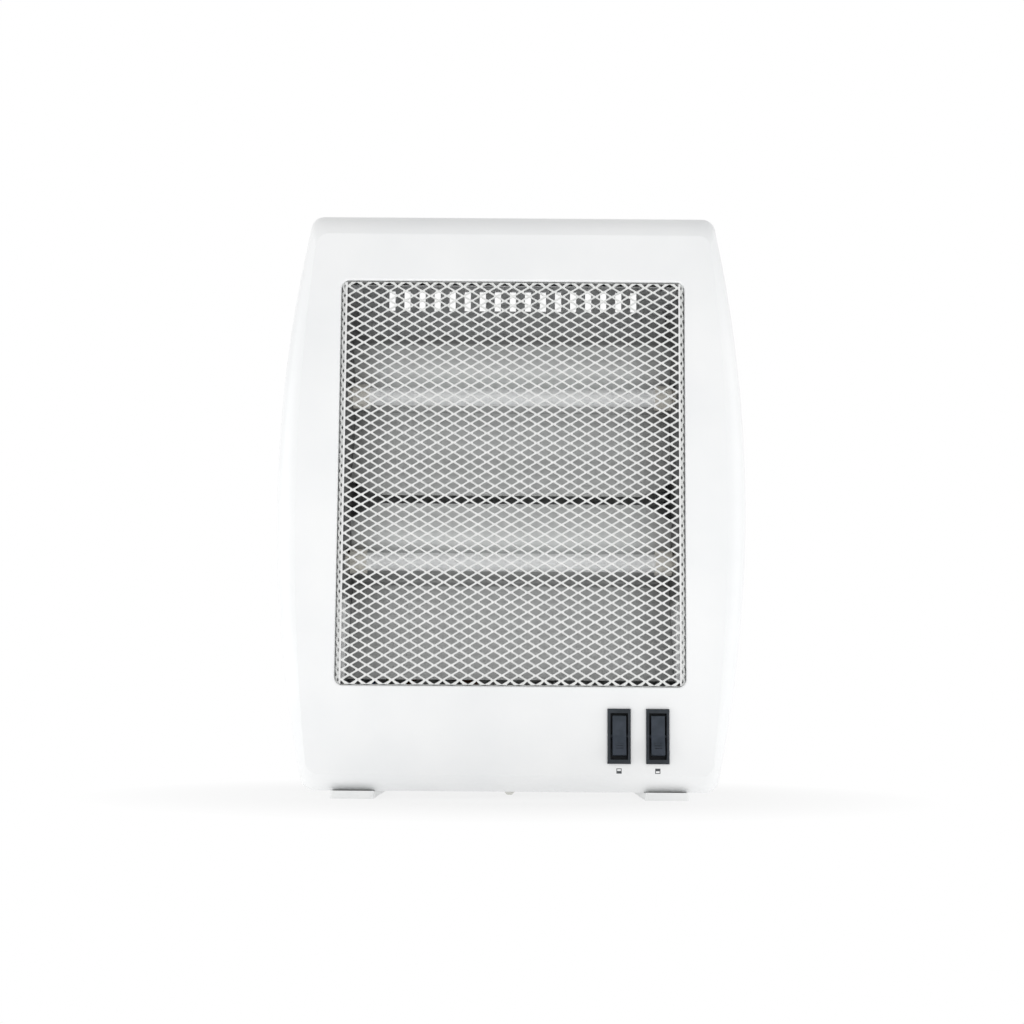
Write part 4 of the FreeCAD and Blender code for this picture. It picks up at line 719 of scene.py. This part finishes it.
    def add_rim(self, shape: bmesh.types.BMesh, front: float, middle: float) -> None:
        """Add the flat rim strips that are held behind the window.

        Args:
            shape: The guard's mesh.
            front: The Y of the guard's front.
            middle: The Z of the guard's middle.
        """
        near, far = front + self.depth, front + self.depth + self.sheet
        tall = self.mouth_half_height - self.rim_stop
        wide = self.mouth_half_width - self.rim_stop
        for sign in (-1, 1):
            across = sorted((sign * self.mouth_half_width,
                             sign * (self.mouth_half_width + self.rim)))
            add_block(shape, (across[0], near, middle - tall), (across[1], far, middle + tall))
            up = sorted((middle + sign * self.mouth_half_height,
                         middle + sign * (self.mouth_half_height + self.rim)))
            add_block(shape, (-wide, near, up[0]), (wide, far, up[1]))

    def add_folds(self, shape: bmesh.types.BMesh, front: float, middle: float) -> None:
        """Add the strand that runs along the fold at each side of the tray.

        Args:
            shape: The guard's mesh.
            front: The Y of the guard's front.
            middle: The Z of the guard's middle.
        """
        half, far = self.fold_strand / 2, front + self.sheet
        for x in (-self.half_width, self.half_width):
            add_block(shape, (x - half, front, middle - self.half_height),
                      (x + half, far, middle + self.half_height))

    def build(self) -> None:
        """Make the guard and let it stand for its CAD node."""
        low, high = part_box(self.node)
        front, middle = low.y, (low.z + high.z) / 2
        columns = 2 * math.ceil((self.half_width + 2 * self.depth) / self.pitch_x) + 1
        rows = 2 * math.ceil((self.half_height + 2 * self.depth) / self.pitch_z) + 1
        material = GUARD_COAT.build()
        mesh = self.lattice(columns, rows, material)
        shape = bmesh.new()
        shape.from_mesh(mesh)
        bmesh.ops.remove_doubles(shape, verts=shape.verts, dist=self.weld)
        self.fold(shape, front, middle)
        self.add_folds(shape, front, middle)
        self.add_rim(shape, front, middle)
        bmesh.ops.recalc_face_normals(shape, faces=shape.faces)
        shape.to_mesh(mesh)
        shape.free()
        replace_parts(piece_of("guard_mesh", mesh), self.node)


@dataclass
class HeatingSet:
    """The quartz tubes with their wound coils and caps, the reflectors and the end plates."""

    turns: int = 128
    coil_length: float = 168 * MM
    coil_radius: float = 2.05 * MM
    wire_radius: float = 0.25 * MM
    leg_radius: float = 0.7 * MM
    segments: int = 12
    wire_sides: int = 5

    def coil_graph(self) -> PieceGraph:
        """Make the tree that winds a coil along X.

        Returns:
            The winding tree.
        """
        graph = PieceGraph("coil_winding", {
            "Turns": "NodeSocketFloat", "Length": "NodeSocketFloat", "Radius": "NodeSocketFloat",
            "Wire": "NodeSocketFloat", "Material": "NodeSocketMaterial"})
        helix = graph.add("GeometryNodeCurveSpiral", {
            "Resolution": self.segments, "Rotations": graph.given["Turns"],
            "Start Radius": graph.given["Radius"], "End Radius": graph.given["Radius"],
            "Height": graph.given["Length"]})
        section = graph.add("GeometryNodeCurvePrimitiveCircle", {
            "Resolution": self.wire_sides, "Radius": graph.given["Wire"]})
        wire = graph.add("GeometryNodeCurveToMesh", {
            "Curve": helix.outputs[0], "Profile Curve": section.outputs[0], "Fill Caps": True})
        along = graph.add("GeometryNodeTransform", {
            "Geometry": wire.outputs[0], "Rotation": (0.0, QUARTER_TURN, 0.0)})
        graph.close(along.outputs[0])
        return graph

    def wind(self, level: Level, graph: PieceGraph, material: bpy.types.Material) -> None:
        """Wind one coil with its straight legs and let it stand for its CAD core.

        Args:
            level: Which tube it is in.
            graph: The winding tree.
            material: The wire's material.
        """
        node = f"{level.value}_heating_coil"
        low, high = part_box(node)
        middle = (low + high) / 2
        mesh = graph.make(f"{level.value}_coil", {
            "Turns": float(self.turns), "Length": self.coil_length, "Radius": self.coil_radius,
            "Wire": self.wire_radius, "Material": material})
        shape = bmesh.new()
        shape.from_mesh(mesh)
        start = Vector((middle.x - self.coil_length / 2, middle.y, middle.z))
        bmesh.ops.translate(shape, verts=shape.verts, vec=start)
        for end, stop in ((low.x, start.x + self.coil_radius),
                          (high.x, start.x + self.coil_length - self.coil_radius)):
            turn = Matrix.Translation(((end + stop) / 2, middle.y, middle.z))
            bmesh.ops.create_cone(
                shape, cap_ends=True, segments=self.segments, radius1=self.leg_radius,
                radius2=self.leg_radius, depth=abs(stop - end),
                matrix=turn @ Matrix.Rotation(QUARTER_TURN, 4, "Y"))
        bmesh.ops.recalc_face_normals(shape, faces=shape.faces)
        shape.to_mesh(mesh)
        shape.free()
        mesh.shade_smooth()
        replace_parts(piece_of(f"{level.value}_coil", mesh), node)

    def build(self) -> None:
        """Dress the heating set and wind its coils."""
        levels = [level.value for level in Level]
        dress([f"{level}_quartz_tube" for level in levels], QUARTZ)
        dress([f"{level}_reflector" for level in levels], ROLLED_SHEET)
        dress([f"{level}_{side.value}_tube_cap" for level in levels for side in Side], CERAMIC)
        dress([f"{side.value}_end_plate" for side in Side], ZINC_SHEET)
        dress(["thermal_cutout"], CERAMIC)
        wire = dress([f"{level}_heating_coil" for level in levels], COIL_WIRE)
        graph = self.coil_graph()
        for level in Level:
            self.wind(level, graph, wire)


@dataclass
class SwitchPanel:
    """The rocker switches and the small printed square under each."""

    mark_size: float = 3.0 * MM
    mark_line: float = 0.42 * MM
    mark_drop: float = 4.1 * MM
    ink: float = 0.03 * MM

    def mark(self, side: Side, material: bpy.types.Material) -> None:
        """Print the half-filled square under one switch.

        Args:
            side: Which switch it belongs to.
            material: The ink.
        """
        low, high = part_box(f"{side.value}_switch_body")
        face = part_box("front_frame")[0].y
        x, z = (low.x + high.x) / 2, low.z - self.mark_drop
        half, line = self.mark_size / 2, self.mark_line
        bars = [(-half, -half, half, -half + line), (-half, half - line, half, half),
                (-half, -half + line, -half + line, half - line),
                (half - line, -half + line, half, half - line)]
        inner = half - line
        low_half, high_half = (-inner, -inner, inner, 0.0), (-inner, 0.0, inner, inner)
        bars.append(low_half if side is Side.LEFT else high_half)
        shape = bmesh.new()
        for left, bottom, right, top in bars:
            add_block(shape, (x + left, face - self.ink, z + bottom), (x + right, face, z + top))
        mesh = bpy.data.meshes.new(f"{side.value}_switch_mark")
        shape.to_mesh(mesh)
        shape.free()
        mesh.materials.append(material)
        piece_of(f"{side.value}_switch_mark", mesh)

    def build(self) -> None:
        """Dress the switches and print their marks."""
        dress([f"{side.value}_switch_body" for side in Side], SWITCH_BLACK)
        dress([f"{side.value}_rocker" for side in Side], ROCKER_GREY)
        dress([f"{side.value}_switch_terminals" for side in Side], BRASS)
        ink = MARK_INK.build()
        for side in Side:
            self.mark(side, ink)


@dataclass
class Wiring:
    """The tip switch, the terminal block, the gland and the leads inside the case."""

    live_nodes: tuple[str, ...] = ("live_lead", "cutout_lead", "switch_feed_lead",
                                   "switch_link_lead", "upper_tube_lead", "lower_tube_lead")
    neutral_nodes: tuple[str, ...] = ("neutral_lead", "neutral_link_lead")
    earth_nodes: tuple[str, ...] = ("earth_lead",)
    brass_nodes: tuple[str, ...] = ("cutout_terminals", "tip_switch_terminals", "terminal_clamps")
    black_nodes: tuple[str, ...] = ("tip_switch_body", "cord_gland")

    def build(self) -> None:
        """Dress the electrical pieces."""
        dress(self.live_nodes, BROWN_SLEEVE)
        dress(self.neutral_nodes, BLUE_SLEEVE)
        dress(self.earth_nodes, EARTH_SLEEVE)
        dress(self.brass_nodes, BRASS)
        dress(self.black_nodes, SWITCH_BLACK)
        dress(["terminal_block", "tip_plunger"], NYLON)
        dress(["tip_spring"], SCREW_ZINC)


@dataclass
class Fasteners:
    """The screws, with the cross recess in each head that shows from outside drawn as a thin plate
    of painted shade.
    """

    nodes: tuple[str, ...] = ("clamp_screws", "case_screws", "chassis_screws", "foot_screws",
                              "cutout_screws", "tip_switch_screws", "block_screws")
    arm: float = 3.4 * MM
    arm_width: float = 0.85 * MM
    depth: float = 0.04 * MM
    face_slack: float = 0.04 * MM
    spot_margin: float = 1.0 * MM

    def heads(self, node: str, outward: Vector) -> list[Vector]:
        """Find the middle of each head's outer face.

        Args:
            node: The group of screws.
            outward: The way that the heads face.

        Returns:
            One point for each screw.
        """
        spots: list[list[Vector]] = []
        corners = [vertex.co.copy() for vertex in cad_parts[node].data.vertices]
        top = max(corner.dot(outward) for corner in corners)
        for corner in corners:
            if top - corner.dot(outward) > self.face_slack:
                continue
            for spot in spots:
                if (spot[0] - corner).length < 2 * self.arm + self.spot_margin:
                    spot.append(corner)
                    break
            else:
                spots.append([corner])
        middles = []
        for spot in spots:
            low = Vector(map(min, *spot))
            high = Vector(map(max, *spot))
            middles.append((low + high) / 2)
        return middles

    def cross(self) -> bpy.types.Object:
        """Make one cross recess as a thin plate on the XY plane, to carry painted shade in place
        of the hollow.

        Returns:
            The plate's object, about the origin.
        """
        shape = bmesh.new()
        half, slim = self.arm / 2, self.arm_width / 2
        for x, y in ((half, slim), (slim, half)):
            add_block(shape, (-x, -y, 0.0), (x, y, self.depth))
        mesh = bpy.data.meshes.new("cross_recess")
        shape.to_mesh(mesh)
        shape.free()
        unit = bpy.data.objects.new("cross_recess", mesh)
        bpy.context.scene.collection.objects.link(unit)
        return unit

    def recesses(self, name: str, node: str, outward: Vector, turn: Triple,
                 material: bpy.types.Material) -> None:
        """Put a cross recess, a plate of painted shade, on each head of one group.

        Args:
            name: The piece's name.
            node: The group of screws.
            outward: The way that the heads face.
            turn: The turn that points the cross outward.
            material: The recess's material, painted shade.
        """
        points = bpy.data.meshes.new(f"{name}_points")
        points.from_pydata(self.heads(node, outward), [], [])
        holder = bpy.data.objects.new(f"{name}_points", points)
        bpy.context.scene.collection.objects.link(holder)
        graph = PieceGraph(name, {
            "Heads": "NodeSocketObject", "Cross": "NodeSocketObject", "Turn": "NodeSocketVector",
            "Material": "NodeSocketMaterial"})
        spots = graph.add("GeometryNodeObjectInfo", {"Object": graph.given["Heads"]})
        unit = graph.add("GeometryNodeObjectInfo", {"Object": graph.given["Cross"]})
        put = graph.add("GeometryNodeInstanceOnPoints", {
            "Points": spots.outputs["Geometry"], "Instance": unit.outputs["Geometry"],
            "Rotation": graph.given["Turn"]})
        graph.close(put.outputs[0])
        cross = self.cross()
        mesh = graph.make(name, {
            "Heads": holder, "Cross": cross, "Turn": turn, "Material": material})
        bpy.data.objects.remove(cross)
        bpy.data.objects.remove(holder)
        piece_of(name, mesh)

    def build(self) -> None:
        """Dress the screws and add their recesses in painted shade."""
        dress(self.nodes, SCREW_ZINC)
        dark = PAINTED_RECESS_SHADE.build()
        self.recesses("case_screw_recesses", "case_screws", Vector((0, 1, 0)),
                      (-QUARTER_TURN, 0.0, 0.0), dark)
        self.recesses("foot_screw_recesses", "foot_screws", Vector((0, 0, -1)),
                      (HALF_TURN, 0.0, 0.0), dark)


@dataclass
class Lamp:
    """One soft lamp of the studio."""

    name: str
    place: Triple
    aim: Triple
    size: Span
    power: float

    def build(self) -> None:
        """Hang the lamp and point it."""
        data = bpy.data.lights.new(self.name, "AREA")
        data.shape = "RECTANGLE"
        data.size, data.size_y = self.size
        data.energy = self.power
        lamp = bpy.data.objects.new(self.name, data)
        lamp.location = self.place
        way = Vector(self.aim) - Vector(self.place)
        lamp.rotation_euler = way.to_track_quat("-Z", "Y").to_euler()
        bpy.context.scene.collection.objects.link(lamp)


@dataclass
class Studio:
    """The floor, the pale surroundings, the lamps and the camera."""

    floor_reach: float = 30.0
    floor_tone: float = 0.82
    speck: float = 8 * MM
    speck_detail: float = 2.0
    speck_lift: float = 0.02
    near_glow: float = 0.72
    shadow_reach: Span = (0.10, 0.26)
    bounce: float = 1.5
    bounce_ring: tuple[Span, ...] = (
        (0.0, 0.6), (0.09, 0.66), (0.16, 0.88), (0.5, 1.0), (0.9, 1.0), (1.5, 0.3))
    sky: float = 0.66
    sensor: float = 36.0
    lens: float = 59.66
    near_clip: float = 0.01
    camera_place: Triple = (0.0, -1.0515, 0.052)
    pitch: float = 6.64
    yaw: float = -0.02
    roll: float = 0.4
    lamps: list[Lamp] = field(default_factory=lambda: [
        Lamp("key_lamp", (0.25, -1.7, 0.24), (0.0, 0.0, 0.1), (1.8, 0.44), 2.6),
        Lamp("left_lamp", (-1.3, -0.35, 0.35), (0.0, 0.0, 0.15), (1.0, 0.68), 3.4),
        Lamp("right_lamp", (1.3, -0.35, 0.35), (0.0, 0.0, 0.15), (1.0, 0.68), 2.5),
    ])

    def build_floor(self) -> None:
        """Lay the floor, pale to the eye, lit from within and with a soft shadow."""
        material = bpy.data.materials.new("studio_floor")
        tree = ShaderTree(material)
        speck = tree.pattern(self.speck, EVEN, self.speck_detail)
        tone = tree.tones(speck, (self.floor_tone,) * 3, (self.floor_tone + self.speck_lift,) * 3)
        matt = tree.add("ShaderNodeBsdfDiffuse", {"Color": tone})
        away = tree.add("ShaderNodeVectorMath", {0: tree.coordinates})
        away.operation = "LENGTH"
        distance = away.outputs["Value"]
        light = tree.combine("MULTIPLY", tree.steps(distance, self.bounce_ring), self.bounce)
        level = tree.add("ShaderNodeMapRange", {
            "Value": tree.seen(), "To Min": light, "To Max": 1.0})
        glow = tree.add("ShaderNodeEmission", {"Color": WHITE, "Strength": level.outputs[0]})
        fade = tree.add("ShaderNodeMapRange", {
            "Value": distance, "From Min": self.shadow_reach[0], "From Max": self.shadow_reach[1],
            "To Min": self.near_glow, "To Max": 1.0})
        mixed = tree.add("ShaderNodeMixShader", {
            0: fade.outputs[0], 1: matt.outputs[0], 2: glow.outputs[0]})
        tree.show(mixed)
        reach = self.floor_reach
        corners = [(-reach, -reach, 0.0), (reach, -reach, 0.0),
                   (reach, reach, 0.0), (-reach, reach, 0.0)]
        mesh = bpy.data.meshes.new("studio_floor")
        mesh.from_pydata(corners, [], [(0, 1, 2, 3)])
        mesh.materials.append(material)
        floor = bpy.data.objects.new("studio_floor", mesh)
        bpy.context.scene.collection.objects.link(floor)

    def build_sky(self) -> None:
        """Surround the object with white that the camera sees and a plain level of light."""
        world = bpy.data.worlds.new("studio_sky")
        bpy.context.scene.world = world
        tree = ShaderTree(world)
        level = tree.add("ShaderNodeMapRange", {
            "Value": tree.seen(), "To Min": self.sky, "To Max": 1.0})
        sky = tree.add("ShaderNodeBackground", {"Color": WHITE, "Strength": level.outputs[0]})
        tree.add("ShaderNodeOutputWorld", {"Surface": sky.outputs[0]})

    def build_camera(self) -> None:
        """Set the camera at the photograph's viewing angle."""
        pitch, yaw, roll = (math.radians(angle) for angle in (self.pitch, self.yaw, self.roll))
        ahead = Vector((-math.sin(yaw) * math.cos(pitch), math.cos(yaw) * math.cos(pitch),
                        math.sin(pitch)))
        level = Vector((math.cos(yaw), math.sin(yaw), 0.0))
        upright = level.cross(ahead)
        right = math.cos(roll) * level + math.sin(roll) * upright
        up = math.cos(roll) * upright - math.sin(roll) * level
        data = bpy.data.cameras.new("photo_camera")
        data.sensor_fit = "HORIZONTAL"
        data.sensor_width = self.sensor
        data.lens = self.lens
        data.clip_start = self.near_clip
        camera = bpy.data.objects.new("photo_camera", data)
        camera.matrix_world = Matrix.Translation(self.camera_place) @ Matrix(
            (right, up, -ahead)).transposed().to_4x4()
        bpy.context.scene.collection.objects.link(camera)
        bpy.context.scene.camera = camera

    def build(self) -> None:
        """Build the whole studio."""
        bpy.context.scene.view_settings.view_transform = "Standard"
        self.build_floor()
        self.build_sky()
        for lamp in self.lamps:
            lamp.build()
        self.build_camera()


def main() -> None:
    """Build every sub-assembly in order."""
    logging.basicConfig(level=logging.INFO, format="%(name)s: %(message)s")
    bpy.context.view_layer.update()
    for part in (Housing(), Guard(), HeatingSet(), SwitchPanel(), Wiring(), Fasteners(), Studio()):
        part.build()
        log.info("%s built", type(part).__name__)


if __name__ == "__main__":
    main()
